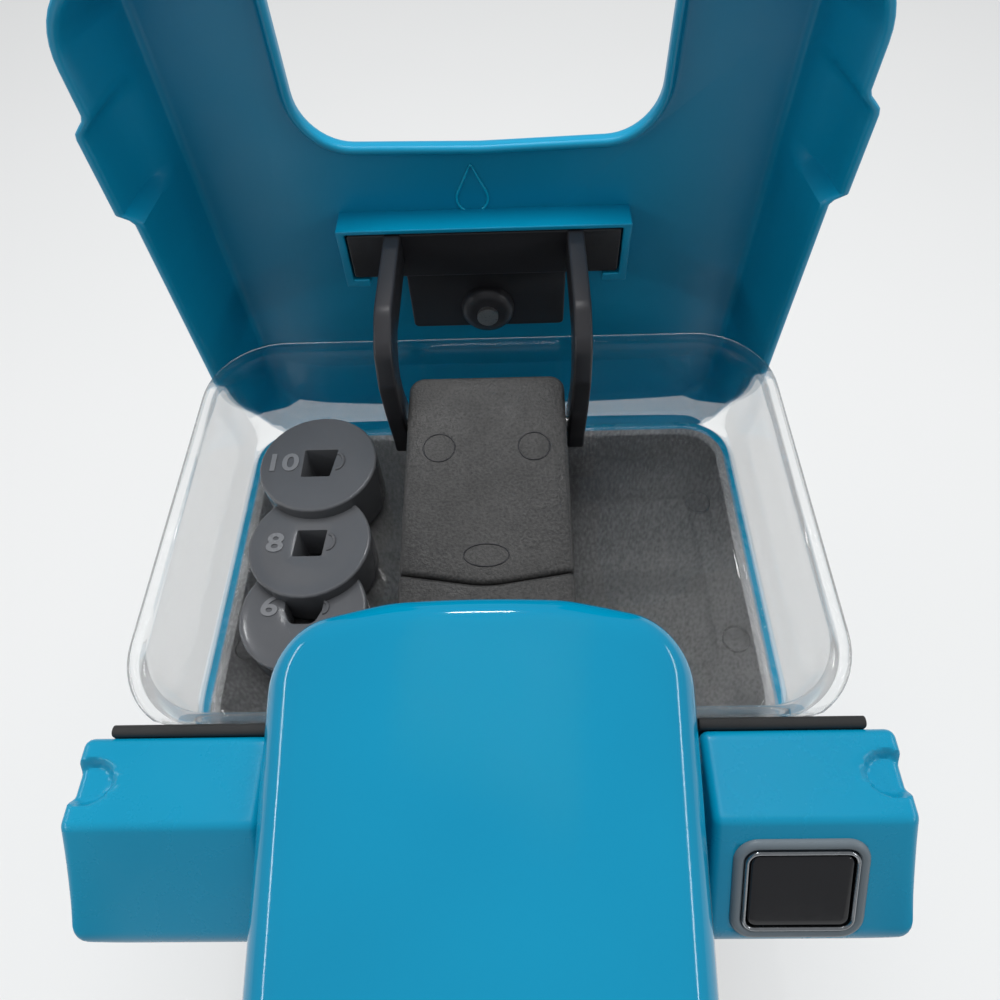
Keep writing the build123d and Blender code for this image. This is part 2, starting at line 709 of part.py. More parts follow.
# Moving head: crowned cover, chassis with its hinge lugs, needle and gasket
crown_dir = (0, -1, -head_slope)
head_corner = 15.0
rear_skirt_z = rim_z + 3.5
rear_notch_z = head_pivot_z + 4.0
crown_reach = (head_back - head_front) * math.hypot(1, head_slope)
head_shapes = []
for inset in (0, head_wall):
    half = head_half - inset
    front_half = head_front_half - inset
    top = head_top - inset
    with BuildPart() as crowned:
        with BuildSketch(Plane.XY.offset(head_bottom)):
            Polygon(
                (-half, head_back - inset), (half, head_back - inset),
                (front_half, head_front + inset), (-front_half, head_front + inset), align=None,
            )
            fillet(vertices(), head_corner - inset)
        extrude(amount=head_top)
        with BuildSketch(Plane.XZ.offset(-head_back)):
            with BuildLine():
                Polyline(
                    (head_half, top - head_crown), (head_half, head_bottom - head_top),
                    (-head_half, head_bottom - head_top), (-head_half, top - head_crown),
                )
                ThreePointArc((-head_half, top - head_crown), (0, top), (head_half, top - head_crown))
            make_face()
        extrude(amount=crown_reach, dir=crown_dir, mode=Mode.INTERSECT)
    head_shapes.append(crowned.part)
with BuildPart() as head_cover:
    add(head_shapes[0])
    top_edges = head_cover.edges().filter_by(lambda edge: edge.bounding_box().min.Z > head_bottom + 5)
    top_edges = top_edges.filter_by(Axis.Z, reverse=True)
    fillet(top_edges, 5)
    add(head_shapes[1], mode=Mode.SUBTRACT)
    block(-60, 60, tank_front - 4, 20, head_bottom - 1, rear_skirt_z, Mode.SUBTRACT)
    block(-lug_outer - 6, lug_outer + 6, -14, 20, rear_skirt_z - 1, rear_notch_z, Mode.SUBTRACT)
save("head_cover", head_cover)

# Chassis: a plate under the cover, with lugs down to the pins on the tower
chassis_front = head_front + 15.0
head_taper = (head_half - head_front_half) / (head_back - head_front)
chassis_back_half = head_half - head_wall - seat_gap - head_taper * (head_back - tank_front)
chassis_front_half = head_half - head_wall - seat_gap - head_taper * (head_back - chassis_front)
with BuildPart() as head_chassis:
    with BuildSketch(Plane.XY.offset(chassis_bottom)):
        Polygon(
            (-chassis_back_half, tank_front), (chassis_back_half, tank_front),
            (chassis_front_half, chassis_front), (-chassis_front_half, chassis_front), align=None,
        )
        fillet(vertices().group_by(Axis.Y)[0], 8)
    extrude(amount=chassis_thick)
    for side in (-1, 1):
        inner, outer = sorted((side * lug_inner, side * lug_outer))
        block(inner, outer, tank_front - 4, head_pivot_y, chassis_bottom, chassis_bottom + chassis_thick)
        block(inner, outer, head_pivot_y - 5, head_pivot_y + 3, chassis_bottom, head_pivot_z)
        cross_rod(inner, outer, head_pivot_y, head_pivot_z, lug_radius - 1)
        cross_rod(inner - 1, outer + 1, head_pivot_y, head_pivot_z, pin_radius + run_gap, Mode.SUBTRACT)
save("head_chassis", head_chassis)

needle_radius = 2.0
needle_tip = 212.0
gasket_radius = 7.0
with BuildPart() as upper_needle:
    post(0, pod_y, needle_tip + 5, chassis_bottom, needle_radius)
    with Locations((0, pod_y, needle_tip + 2.5)):
        Cone(0.4, needle_radius, 5)
save("upper_needle", upper_needle)

with BuildPart() as needle_gasket:
    post(0, pod_y, chassis_bottom - 3, chassis_bottom, gasket_radius)
    post(0, pod_y, chassis_bottom - 4, chassis_bottom + 1, needle_radius, Mode.SUBTRACT)
save("needle_gasket", needle_gasket)

# Inside the column: a frame, the heater on its stand, the pump, tubes and power board
frame_y = 44.0
frame_thick = 3.0
frame_reach = 60.0
heater_x = -38.0
heater_y = 12.0
heater_radius = 27.0
heater_low = 56.0
heater_high = 150.0
with BuildPart() as inner_frame:
    block(-frame_reach, frame_reach, frame_y, frame_y + frame_thick, base_top, deck_bottom)
    block(-frame_reach, frame_reach, frame_y, frame_y + 15, base_top, base_top + frame_thick)
save("inner_frame", inner_frame)

with BuildPart() as heater_stand:
    block(heater_x - 20, heater_x + 20, heater_y - 20, frame_y, heater_low - 4, heater_low)
    block(heater_x - 20, heater_x + 20, frame_y - 4, frame_y, heater_low - 24, heater_low - 4)
    post(heater_x, heater_y, heater_low - 5, heater_low + 1, tube_radius + tube_gap, Mode.SUBTRACT)
save("heater_stand", heater_stand)

with BuildPart() as water_heater:
    post(heater_x, heater_y, heater_low, heater_high, heater_radius)
    fillet(water_heater.edges(), 4)
save("water_heater", water_heater)

with BuildPart() as thermostat:
    post(heater_x - 12, heater_y, heater_high, heater_high + 6, 7)
save("thermostat", thermostat)

with BuildPart() as thermal_fuse:
    long_rod(heater_x + 14, heater_y - 10, heater_y + 10, heater_high + 2, 2)
save("thermal_fuse", thermal_fuse)

pump_x = outlet_x
pump_half = 18.0
pump_high = 50.0
motor_radius = 13.0
motor_high = 92.0
motor_x = pump_x + 20.0
motor_y = 22.0
with BuildPart() as water_pump:
    block(pump_x - pump_half, motor_x + motor_radius, outlet_y - 9, motor_y + motor_radius, base_top, pump_high)
    fillet(water_pump.edges().filter_by(Axis.Z), 5)
save("water_pump", water_pump)

with BuildPart() as pump_motor:
    post(motor_x, motor_y, pump_high, motor_high, motor_radius)
    post(motor_x, motor_y, motor_high, motor_high + 4, 4)
save("pump_motor", pump_motor)

# Tubes: tank to pump, pump to heater, heater to the riser in the tower
with BuildPart() as inlet_tube:
    post(outlet_x, outlet_y, pump_high, floor_z - 0.2, tube_radius)
    post(outlet_x, outlet_y, pump_high - 1, floor_z + 1, tube_radius - 1, Mode.SUBTRACT)
save("inlet_tube", inlet_tube)

cold_z = 30.0
with BuildPart() as cold_tube:
    with BuildLine() as cold_path:
        FilletPolyline(
            (pump_x - pump_half, outlet_y + 6, cold_z), (heater_x + 12, outlet_y + 6, cold_z),
            (heater_x, heater_y, cold_z + 6), (heater_x, heater_y, heater_low), radius=5,
        )
    with BuildSketch(Plane(origin=cold_path.line @ 0, z_dir=cold_path.line % 0)):
        Circle(tube_radius)
        Circle(tube_radius - 1, mode=Mode.SUBTRACT)
    sweep()
save("cold_tube", cold_tube)

hot_z = 172.0
with BuildPart() as hot_tube:
    with BuildLine() as hot_path:
        FilletPolyline(
            (heater_x, heater_y, heater_high), (heater_x, heater_y, hot_z),
            (riser_x, riser_y, hot_z + 4), (riser_x, riser_y, floor_z + 16), radius=7,
        )
    with BuildSketch(Plane(origin=hot_path.line @ 0, z_dir=hot_path.line % 0)):
        Circle(tube_radius)
        Circle(tube_radius - 1, mode=Mode.SUBTRACT)
    sweep()
save("hot_tube", hot_tube)

board_y = frame_y + frame_thick + 8.0
board_low = 70.0
board_high = 150.0
with BuildPart() as power_board:
    block(-50, 50, board_y, board_y + 1.6, board_low, board_high)
    block(-40, -12, board_y + 1.6, board_y + 18, board_low + 8, board_low + 30)
    block(10, 30, board_y + 1.6, board_y + 14, board_low + 40, board_low + 62)
    for relay_z in (board_low + 12, board_low + 30):
        block(34, 46, board_y + 1.6, board_y + 12, relay_z, relay_z + 12)
save("power_board", power_board)

with BuildPart() as board_standoffs:
    for side in (-1, 1):
        for stand_z in (board_low + 5, board_high - 5):
            long_rod(side * 45, frame_y + frame_thick, board_y, stand_z, 3)
save("board_standoffs", board_standoffs)
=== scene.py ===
import bmesh
import bpy
import json
import math
import numpy as np
from mathutils import Matrix, Vector


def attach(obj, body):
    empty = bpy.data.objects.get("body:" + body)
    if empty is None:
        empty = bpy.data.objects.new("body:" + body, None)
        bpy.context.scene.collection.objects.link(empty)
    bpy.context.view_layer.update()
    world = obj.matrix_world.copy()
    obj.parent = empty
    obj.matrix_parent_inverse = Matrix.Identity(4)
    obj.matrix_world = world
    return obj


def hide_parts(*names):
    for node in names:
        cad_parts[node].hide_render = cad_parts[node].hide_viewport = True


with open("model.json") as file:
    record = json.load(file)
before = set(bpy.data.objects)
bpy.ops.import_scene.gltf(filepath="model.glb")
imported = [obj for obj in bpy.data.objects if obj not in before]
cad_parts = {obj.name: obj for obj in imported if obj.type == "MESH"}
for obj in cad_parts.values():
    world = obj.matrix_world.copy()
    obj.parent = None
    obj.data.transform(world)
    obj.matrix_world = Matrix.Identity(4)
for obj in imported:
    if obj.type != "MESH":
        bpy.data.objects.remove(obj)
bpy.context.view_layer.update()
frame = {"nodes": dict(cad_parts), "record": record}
nodes = frame["nodes"]
mm = 0.001
print("frame loaded with", len(nodes), "nodes")


# materials
# a new material with its node tree, its shader and the node that gives Object coordinates
def startMaterial(name):
    material = bpy.data.materials.new(name)
    material.use_nodes = True
    tree = material.node_tree
    shader = tree.nodes["Principled BSDF"]
    place = tree.nodes.new("ShaderNodeTexCoord")
    return material, tree, shader, place


# noise on Object coordinates, which may be stretched along an axis
def noiseField(tree, place, scale, detail=3.0, rough=0.5, stretch=(1, 1, 1)):
    spread = tree.nodes.new("ShaderNodeMapping")
    spread.inputs["Scale"].default_value = stretch
    noise = tree.nodes.new("ShaderNodeTexNoise")
    noise.inputs["Scale"].default_value = scale
    noise.inputs["Detail"].default_value = detail
    noise.inputs["Roughness"].default_value = rough
    tree.links.new(place.outputs["Object"], spread.inputs["Vector"])
    tree.links.new(spread.outputs["Vector"], noise.inputs["Vector"])
    return noise.outputs["Fac"]


# a value carried in a straight line from one range to another
def spanned(tree, value, low, high, fromLow=0.3, fromHigh=0.7):
    span = tree.nodes.new("ShaderNodeMapRange")
    span.inputs["From Min"].default_value = fromLow
    span.inputs["From Max"].default_value = fromHigh
    span.inputs["To Min"].default_value = low
    span.inputs["To Max"].default_value = high
    tree.links.new(value, span.inputs["Value"])
    return span.outputs["Result"]


def blended(tree, value, first, second):
    blend = tree.nodes.new("ShaderNodeMix")
    blend.data_type = "RGBA"
    blend.inputs["A"].default_value = (*first, 1)
    blend.inputs["B"].default_value = (*second, 1)
    tree.links.new(value, blend.inputs["Factor"])
    return blend.outputs["Result"]


def bumped(tree, shader, value, distance):
    bump = tree.nodes.new("ShaderNodeBump")
    bump.inputs["Strength"].default_value = 0.6
    bump.inputs["Distance"].default_value = distance
    tree.links.new(value, bump.inputs["Height"])
    tree.links.new(bump.outputs["Normal"], shader.inputs["Normal"])


# one entry for each plastic, and for the teal plastic's lighter and darker copies, which carry painted light, painted
# shade and a painted highlight; each gives its two shades, the range of its roughness, how fine its grain is, how
# deep the grain goes in metres, and how far the grain also speckles the colour
finishes = {
    # painted shade: the head cover's teal is a darker copy of the shell's teal, toned down against the strong light
    # on its top
    "headTealPaintedShade": dict(shades=((0.0, 0.19, 0.335), (0.0, 0.215, 0.37)),
                     gloss=(0.06, 0.12), grain=700, depth=0.000005),
    "shellTeal": dict(shades=((0.0, 0.21, 0.36), (0.0, 0.235, 0.395)),
                      gloss=(0.22, 0.32), grain=900, depth=0.00002),
    # painted light: the lid's teal is a lighter copy of the shell's teal, standing in for the light its inner face
    # lacks
    "lidTealPaintedLight": dict(shades=((0.0, 0.25, 0.43), (0.0, 0.275, 0.47)),
                    gloss=(0.32, 0.42), grain=800, depth=0.00002),
    "sparkBlack": dict(shades=((0.017, 0.017, 0.017), (0.046, 0.045, 0.044)),
                       gloss=(0.34, 0.55), grain=1300, depth=0.0003, mottle=2.2),
    "satinBlack": dict(shades=((0.012, 0.012, 0.014), (0.022, 0.022, 0.025)),
                       gloss=(0.3, 0.42), grain=1400, depth=0.00003),
    # painted highlight: the drop's raised line is a much lighter copy of the lid's teal, standing in for light caught
    # on its edge
    "dropTealPaintedHighlight": dict(shades=((0.0, 0.40, 0.60), (0.0, 0.43, 0.64)),
                     gloss=(0.2, 0.3), grain=800, depth=0.00001),
    "gaugeGrey": dict(shades=((0.075, 0.078, 0.085), (0.10, 0.103, 0.11)),
                      gloss=(0.1, 0.2), grain=500, depth=0.00003),
    "numeralGrey": dict(shades=((0.15, 0.155, 0.165), (0.19, 0.195, 0.205)),
                        gloss=(0.2, 0.3), grain=500, depth=0.00002),
    "deckBlack": dict(shades=((0.11, 0.111, 0.114), (0.29, 0.291, 0.293)),
                      gloss=(0.3, 0.55), grain=1100, depth=0.0004, mottle=2.2),
    "bezelGrey": dict(shades=((0.10, 0.125, 0.14), (0.125, 0.15, 0.17)),
                      gloss=(0.3, 0.42), grain=1200, depth=0.00003),
    "glossBlack": dict(shades=((0.006, 0.006, 0.007), (0.012, 0.012, 0.014)),
                       gloss=(0.05, 0.16), grain=300, depth=0.00001),
    "softBlack": dict(shades=((0.014, 0.014, 0.014), (0.028, 0.028, 0.028)),
                      gloss=(0.6, 0.8), grain=1800, depth=0.00005),
    "boardGreen": dict(shades=((0.01, 0.11, 0.04), (0.02, 0.16, 0.06)),
                       gloss=(0.3, 0.45), grain=600, depth=0.00004),
    "silicone": dict(shades=((0.62, 0.62, 0.58), (0.72, 0.72, 0.69)),
                     gloss=(0.35, 0.5), grain=400, depth=0.00003),
}
metals = {
    "chrome": dict(shade=(0.78, 0.79, 0.81), gloss=(0.05, 0.12), grain=90),
    "silver": dict(shade=(0.42, 0.44, 0.46), gloss=(0.18, 0.28), grain=900),
    "steel": dict(shade=(0.5, 0.5, 0.5), gloss=(0.25, 0.4), grain=1200),
    "heaterCan": dict(shade=(0.66, 0.66, 0.66), gloss=(0.3, 0.5), grain=400),
}


# the colour follows broad noise plus mottle times fine noise; the roughness follows a smeared noise
def plasticFinish(name, shades, gloss, grain, depth, mottle=0.2):
    material, tree, shader, place = startMaterial(name)
    broad = noiseField(tree, place, 14, 2)
    fine = noiseField(tree, place, grain, 2, 0.6)
    smear = noiseField(tree, place, 55, 5, 0.65)
    mixed = tree.nodes.new("ShaderNodeMath")
    mixed.operation = "MULTIPLY_ADD"
    mixed.inputs[1].default_value = mottle
    tree.links.new(fine, mixed.inputs[0])
    tree.links.new(spanned(tree, broad, -mottle / 2, 1 - mottle / 2), mixed.inputs[2])
    shade = blended(tree, mixed.outputs["Value"], *shades)
    tree.links.new(shade, shader.inputs["Base Color"])
    tree.links.new(spanned(tree, smear, *gloss), shader.inputs["Roughness"])
    bumped(tree, shader, fine, depth)
    return material


# streaks pressed flat along Z change both the shade and the roughness
def metalFinish(name, shade, gloss, grain):
    material, tree, shader, place = startMaterial(name)
    shader.inputs["Metallic"].default_value = 1
    streak = noiseField(tree, place, grain, 4, 0.6, (1, 1, 6))
    darker = tuple(0.82 * part for part in shade)
    tint = blended(tree, spanned(tree, streak, 0, 1), darker, shade)
    tree.links.new(tint, shader.inputs["Base Color"])
    tree.links.new(spanned(tree, streak, *gloss), shader.inputs["Roughness"])
    return material


# clear plastic that also lets some light straight through, so that what lies under it is lit
def clearFinish():
    material, tree, shader, place = startMaterial("clearPlastic")
    shader.inputs["Transmission Weight"].default_value = 1
    shader.inputs["IOR"].default_value = 1.46
    shader.inputs["Alpha"].default_value = 0.55
    haze = noiseField(tree, place, 60, 5, 0.7)
    tint = blended(tree, haze, (0.99, 0.995, 0.995), (0.965, 0.985, 0.985))
    tree.links.new(tint, shader.inputs["Base Color"])
    tree.links.new(spanned(tree, haze, 0.0, 0.05, 0.45, 0.75), shader.inputs["Roughness"])
    return material


made = {name: plasticFinish(name, **values) for name, values in finishes.items()}
made.update({name: metalFinish(name, **values) for name, values in metals.items()})
made["clear"] = clearFinish()

# which finish each slot and some single nodes of the CAD model get
slotFinish = {
    "shell_teal": "shellTeal", "clear_plastic": "clear", "gauge_grey": "gaugeGrey",
    "textured_black": "sparkBlack", "bracket_black": "satinBlack", "panel_black": "satinBlack",
    "bezel_grey": "bezelGrey", "frame_silver": "silver", "button_black": "glossBlack",
    "chrome_trim": "chrome", "steel": "steel", "seal_black": "softBlack", "tube_silicone": "silicone",
    "board_green": "boardGreen", "heater_metal": "heaterCan",
}
nodeFinish = {
    "head_cover": "headTealPaintedShade", "tank_lid": "lidTealPaintedLight", "deck_plate": "deckBlack", "deck_screws": "deckBlack",
}
for part in frame["record"]["subparts"]:
    node = nodes[part["node"]]
    finish = made[nodeFinish.get(part["node"], slotFinish[part["material_slot"]])]
    node.data.materials.clear()
    node.data.materials.append(finish)
print("materials made:", len(made))


# camera and light
# the camera's place in metres, its angles in degrees, and its focal length as a share of the picture's width
view = dict(place=(0.00864, -0.0727, 0.39415), down=55.66, turn=2.44, roll=-3.16, focal=0.752)


# the camera looks level toward the rear, then tilts down, turns about Z and rolls about its own axis
def placeCamera():
    camera = bpy.data.objects.new("camera", bpy.data.cameras.new("camera"))
    bpy.context.scene.collection.objects.link(camera)
    camera.data.sensor_width = 36
    camera.data.lens = 36 * view["focal"]
    down, turn, roll = (math.radians(view[key]) for key in ("down", "turn", "roll"))
    tilt = Matrix.Rotation(math.pi / 2 - down, 4, "X")
    aim = Matrix.Rotation(turn, 4, "Z") @ tilt @ Matrix.Rotation(roll, 4, "Z")
    camera.matrix_world = Matrix.Translation(view["place"]) @ aim
    camera.data.clip_start = 0.01
    bpy.context.scene.camera = camera


# a square lamp, or a strip when long is given, turned toward its target
def areaLight(name, place, target, size, power, long=None):
    lamp = bpy.data.lights.new(name, "AREA")
    lamp.energy = power
    lamp.size = size
    if long:
        lamp.shape = "RECTANGLE"
        lamp.size_y = long
    thing = bpy.data.objects.new(name, lamp)
    thing.location = place
    thing.rotation_euler = (Vector(target) - Vector(place)).to_track_quat("-Z", "Y").to_euler()
    bpy.context.scene.collection.objects.link(thing)
    return thing


# the given share for rays from the camera, from a mirror or through glass, and none for the rest
def seenDirectly(tree, share):
    path = tree.nodes.new("ShaderNodeLightPath")
    most = path.outputs["Is Camera Ray"]
    for kind in ("Is Glossy Ray", "Is Transmission Ray"):
        larger = tree.nodes.new("ShaderNodeMath")
        larger.operation = "MAXIMUM"
        tree.links.new(most, larger.inputs[0])
        tree.links.new(path.outputs[kind], larger.inputs[1])
        most = larger.outputs["Value"]
    scaled = tree.nodes.new("ShaderNodeMath")
    scaled.operation = "MULTIPLY"
    scaled.inputs[1].default_value = share
    tree.links.new(most, scaled.inputs[0])
    return scaled.outputs["Value"]


# the floor is a flat square grid; its paint glows a little for the rays that see it directly
floorSize = dict(half=2.5, squares=10, glow=0.55)


def layFloor():
    squares = floorSize["squares"]
    line = np.linspace(-floorSize["half"], floorSize["half"], squares + 1)
    x, y = np.meshgrid(line, line)
    points = np.stack([x.ravel(), y.ravel(), np.zeros(x.size)], 1)
    mesh = bpy.data.meshes.new("floor")
    row = np.arange(squares)
    corner = (row[:, None] * (squares + 1) + row[None, :]).ravel()
    above = corner + squares + 1
    quads = np.stack([corner, corner + 1, above + 1, above], 1)
    mesh.from_pydata(points.tolist(), [], quads.tolist())
    floor = bpy.data.objects.new("floor", mesh)
    bpy.context.scene.collection.objects.link(floor)
    material, tree, shader, place = startMaterial("floorPaint")
    shader.inputs["Roughness"].default_value = 0.6
    paint = blended(tree, noiseField(tree, place, 3), (0.80, 0.81, 0.81), (0.83, 0.835, 0.835))
    tree.links.new(paint, shader.inputs["Base Color"])
    glow = tree.nodes.new("ShaderNodeEmission")
    tree.links.new(paint, glow.inputs["Color"])
    both = tree.nodes.new("ShaderNodeMixShader")
    tree.links.new(seenDirectly(tree, floorSize["glow"]), both.inputs["Fac"])
    tree.links.new(shader.outputs["BSDF"], both.inputs[1])
    tree.links.new(glow.outputs["Emission"], both.inputs[2])
    tree.links.new(both.outputs["Shader"], tree.nodes["Material Output"].inputs["Surface"])
    mesh.materials.append(material)


# soft light from all round, and a pale backdrop that only the camera sees
def lightWorld():
    world = bpy.data.worlds.new("studio")
    world.use_nodes = True
    tree = world.node_tree
    soft = tree.nodes["Background"]
    soft.inputs["Color"].default_value = (0.95, 0.97, 1.0, 1)
    soft.inputs["Strength"].default_value = 0.33
    seen = tree.nodes.new("ShaderNodeBackground")
    seen.inputs["Color"].default_value = (0.86, 0.87, 0.87, 1)
    both = tree.nodes.new("ShaderNodeMixShader")
    path = tree.nodes.new("ShaderNodeLightPath")
    tree.links.new(path.outputs["Is Camera Ray"], both.inputs["Fac"])
    tree.links.new(soft.outputs["Background"], both.inputs[1])
    tree.links.new(seen.outputs["Background"], both.inputs[2])
    tree.links.new(both.outputs["Shader"], tree.nodes["World Output"].inputs["Surface"])
    bpy.context.scene.world = world


# shapes
# a closed loop round a polygon: each corner is an arc of its own radius, each side is split evenly,
# and every point carries the normal that points away from the material
def softLoop(corners, radii, sidePoints=8, arcPoints=6):
    corner = np.array(corners, float)
    radii = np.broadcast_to(np.array(radii, float), len(corner))
    ahead = np.roll(corner, -1, 0) - corner
    ahead = ahead / np.linalg.norm(ahead, axis=1)[:, None]
    behind = np.roll(ahead, 1, 0)
    turn = np.arctan2(behind[:, 0] * ahead[:, 1] - behind[:, 1] * ahead[:, 0], (behind * ahead).sum(1))
    reach = radii * np.tan(np.abs(turn) / 2)
    points, normals = [], []
    for index in range(len(corner)):
        after = (index + 1) % len(corner)
        side = np.sign(turn[index]) or 1
        inward = side * np.array([-behind[index][1], behind[index][0]])
        middle = corner[index] - behind[index] * reach[index] + inward * radii[index]
        sweep = np.linspace(0, turn[index], arcPoints + 1)
        spun = np.stack([
            -np.cos(sweep) * inward[0] + np.sin(sweep) * inward[1],
            -np.sin(sweep) * inward[0] - np.cos(sweep) * inward[1],
        ], 1)
        points.append(middle + radii[index] * spun)
        normals.append(side * spun)
        start = corner[index] + ahead[index] * reach[index]
        end = corner[after] - ahead[index] * reach[after]
        share = np.linspace(0, 1, sidePoints + 2)[1:-1, None]
        points.append(start + (end - start) * share)
        normals.append(np.tile([ahead[index][1], -ahead[index][0]], (sidePoints, 1)))
    return np.concatenate(points), np.concatenate(normals)


# a circle about the origin, with the normals that point outwards
def ringLoop(radius, count=64):
    angle = np.linspace(0, 2 * np.pi, count, endpoint=False)
    normals = np.stack([np.cos(angle), np.sin(angle)], 1)
    return radius * normals, normals


# 0 below 0, 1 above 1, and between them three times the square less twice the cube
def smoothStep(value):
    value = np.clip(value, 0, 1)
    return value * value * (3 - 2 * value)


# quads between successive loops of a stack, with the loops closed round
def stackFaces(levels, around):
    row = np.arange(levels - 1)[:, None] * around
    here = np.arange(around)[None, :]
    after = (here + 1) % around
    quads = np.stack([row + here, row + after, row + around + after, row + around + here], -1)
    return quads.reshape(-1, 4)


# surfaces is a list of (levels, capStart, capEnd), where levels is an array (level, point, 3) in millimetres
# and the caps close the first and the last loop with one face each
def buildPiece(name, surfaces, finish, body, stands=(), sharp=32, skip=None, thick=0):
    points, faces, offset = [], [], 0
    for levels, capStart, capEnd in surfaces:
        levels = np.asarray(levels, float)
        count, around = levels.shape[:2]
        quads = stackFaces(count, around)
        if skip is not None:
            quads = quads[~skip(levels, quads)]
        faces += (quads + offset).tolist()
        if capStart:
            faces.append((np.arange(around)[::-1] + offset).tolist())
        if capEnd:
            faces.append((np.arange(around) + (count - 1) * around + offset).tolist())
        points.append(levels.reshape(-1, 3))
        offset += count * around
    mesh = bpy.data.meshes.new(name)
    mesh.from_pydata((np.concatenate(points) * mm).tolist(), [], faces)
    work = bmesh.new()
    work.from_mesh(mesh)
    bmesh.ops.remove_doubles(work, verts=work.verts, dist=0.000002)
    bmesh.ops.dissolve_degenerate(work, edges=work.edges, dist=0.000001)
    bmesh.ops.recalc_face_normals(work, faces=work.faces)
    work.to_mesh(mesh)
    work.free()
    mesh.polygons.foreach_set("use_smooth", np.ones(len(mesh.polygons), bool))
    mesh.set_sharp_from_angle(angle=math.radians(sharp))
    piece = bpy.data.objects.new(name, mesh)
    bpy.context.scene.collection.objects.link(piece)
    mesh.materials.append(made[finish])
    if thick:
        shell = piece.modifiers.new("shell", "SOLIDIFY")
        shell.thickness = thick * mm
        shell.offset = -1
    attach(piece, body)
    if stands:
        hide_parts(*stands)
    return piece


# pairs (inset, height) for a slab with both rims rounded, from the low face to the high face
def slabSteps(low, high, rim, steps=4):
    sweep = np.linspace(0, np.pi / 2, steps + 1)
    first = [(rim * (1 - math.sin(a)), low + rim * (1 - math.cos(a))) for a in sweep]
    second = [(rim * (1 - math.cos(a)), high - rim * (1 - math.sin(a))) for a in sweep]
    return first + second


# the loop at each step, moved inward by its inset and laid in space at its height
def slabLevels(loop, normals, steps, toSpace):
    return np.stack([toSpace(loop - inset * normals, height) for inset, height in steps])


# three ways to lay a flat outline: level at a height, upright across X, and upright across Y
def upFrom(flat, height):
    return np.column_stack([flat, np.full(len(flat), height)])


def alongX(flat, height):
    return np.column_stack([np.full(len(flat), height), flat])


def towardFront(flat, height):
    return np.column_stack([flat[:, 0], np.full(len(flat), height), flat[:, 1]])


def boxCorners(half, low, high):
    return [(-half, low), (half, low), (half, high), (-half, high)]


# the steps of a slab from near to far on the left side, and of its twin on the right
def twinSteps(near, far, rim):
    return [slabSteps(*sorted((side * near, side * far)), rim) for side in (-1, 1)]


# each loop point slides to the nearest point of a middle line along Y, which closes the surface
def toSpine(loop, low, high, share):
    spine = np.column_stack([np.zeros(len(loop)), np.clip(loop[:, 1], low, high)])
    return loop + (spine - loop) * share


# a hollow cap: crowned top, rounded edge, straight wall, rounded lip, and the same again inside
def capShell(loop, normals, top, bottom, edge, wall, spine, steps=7, across=12):
    levels = []
    sweep = np.linspace(np.pi / 2, 0, steps)

    def lay(flat, height):
        levels.append(np.column_stack([flat, height]))

    outer = loop - edge * normals
    for share in np.linspace(1, 0, across, endpoint=False):
        flat = toSpine(outer, *spine, share)
        lay(flat, top(flat))
    for angle in sweep:
        flat = loop - edge * (1 - math.cos(angle)) * normals
        lay(flat, top(flat) - edge * (1 - math.sin(angle)))
    lip = wall / 2
    rise = bottom(loop)
    shoulder = levels[-1][:, 2]
    for share in (0.35, 0.7):
        lay(loop, shoulder + (rise + lip - shoulder) * share)
    for angle in np.linspace(0, np.pi, 7):
        lay(loop - lip * (1 - math.cos(angle)) * normals, rise + lip * (1 - math.sin(angle)))
    inside = loop - wall * normals
    inner = max(edge - wall, 0.4)
    for angle in sweep[::-1]:
        flat = inside - inner * (1 - math.cos(angle)) * normals
        lay(flat, top(flat) - wall - inner * (1 - math.sin(angle)))
    inside = inside - inner * normals
    for share in np.linspace(0, 1, across + 1)[1:]:
        flat = toSpine(inside, *spine, share)
        lay(flat, top(flat) - wall)
    return np.stack(levels)


# brew head cover
# top: falls by slope toward the front and by crown times the square of the share of the half width
head = dict(top=259.0, back=-2.0, front=-127.5, half=44.5, frontHalf=40.0, slope=0.18, crown=7.0,
            edge=6.0, wall=3.0, low=203.0, rearLow=228.0, notchLow=248.0, notchHalf=34.5,
            rearHalf=18, bow=3.5, radii=(15, 15, 14, 40, 40, 14), skirtY=-22, notchY=-16, blend=2, spine=34)


def headTop(flat):
    fall = head["slope"] * (head["back"] - flat[:, 1])
    return head["top"] - fall - head["crown"] * (flat[:, 0] / head["half"]) ** 2


# bottom: steps up behind skirtY, and once more in the notch between the hinge posts
def headLow(flat):
    rear = smoothStep((flat[:, 1] - head["skirtY"]) / head["blend"])
    across = smoothStep((head["notchHalf"] + 1 - np.abs(flat[:, 0])) / head["blend"])
    notch = across * smoothStep((flat[:, 1] - head["notchY"]) / head["blend"])
    rise = head["rearLow"] - head["low"]
    return head["low"] + rise * rear + (head["notchLow"] - head["rearLow"]) * notch


sideY = head["back"] - head["bow"]
headLoop, headOut = softLoop(
    [(-head["frontHalf"], head["front"]), (head["frontHalf"], head["front"]), (head["half"], sideY),
     (head["rearHalf"], head["back"]), (-head["rearHalf"], head["back"]), (-head["half"], sideY)],
    head["radii"], 24, 12)
headSpine = (head["front"] + head["spine"], head["back"] - head["spine"])
headShell = capShell(headLoop, headOut, headTop, headLow, head["edge"], head["wall"], headSpine)
# the head cover's darker teal is painted shade
buildPiece("headCover", [(headShell, False, False)], "headTealPaintedShade", "head", ("head_cover",))
print("head cover made")


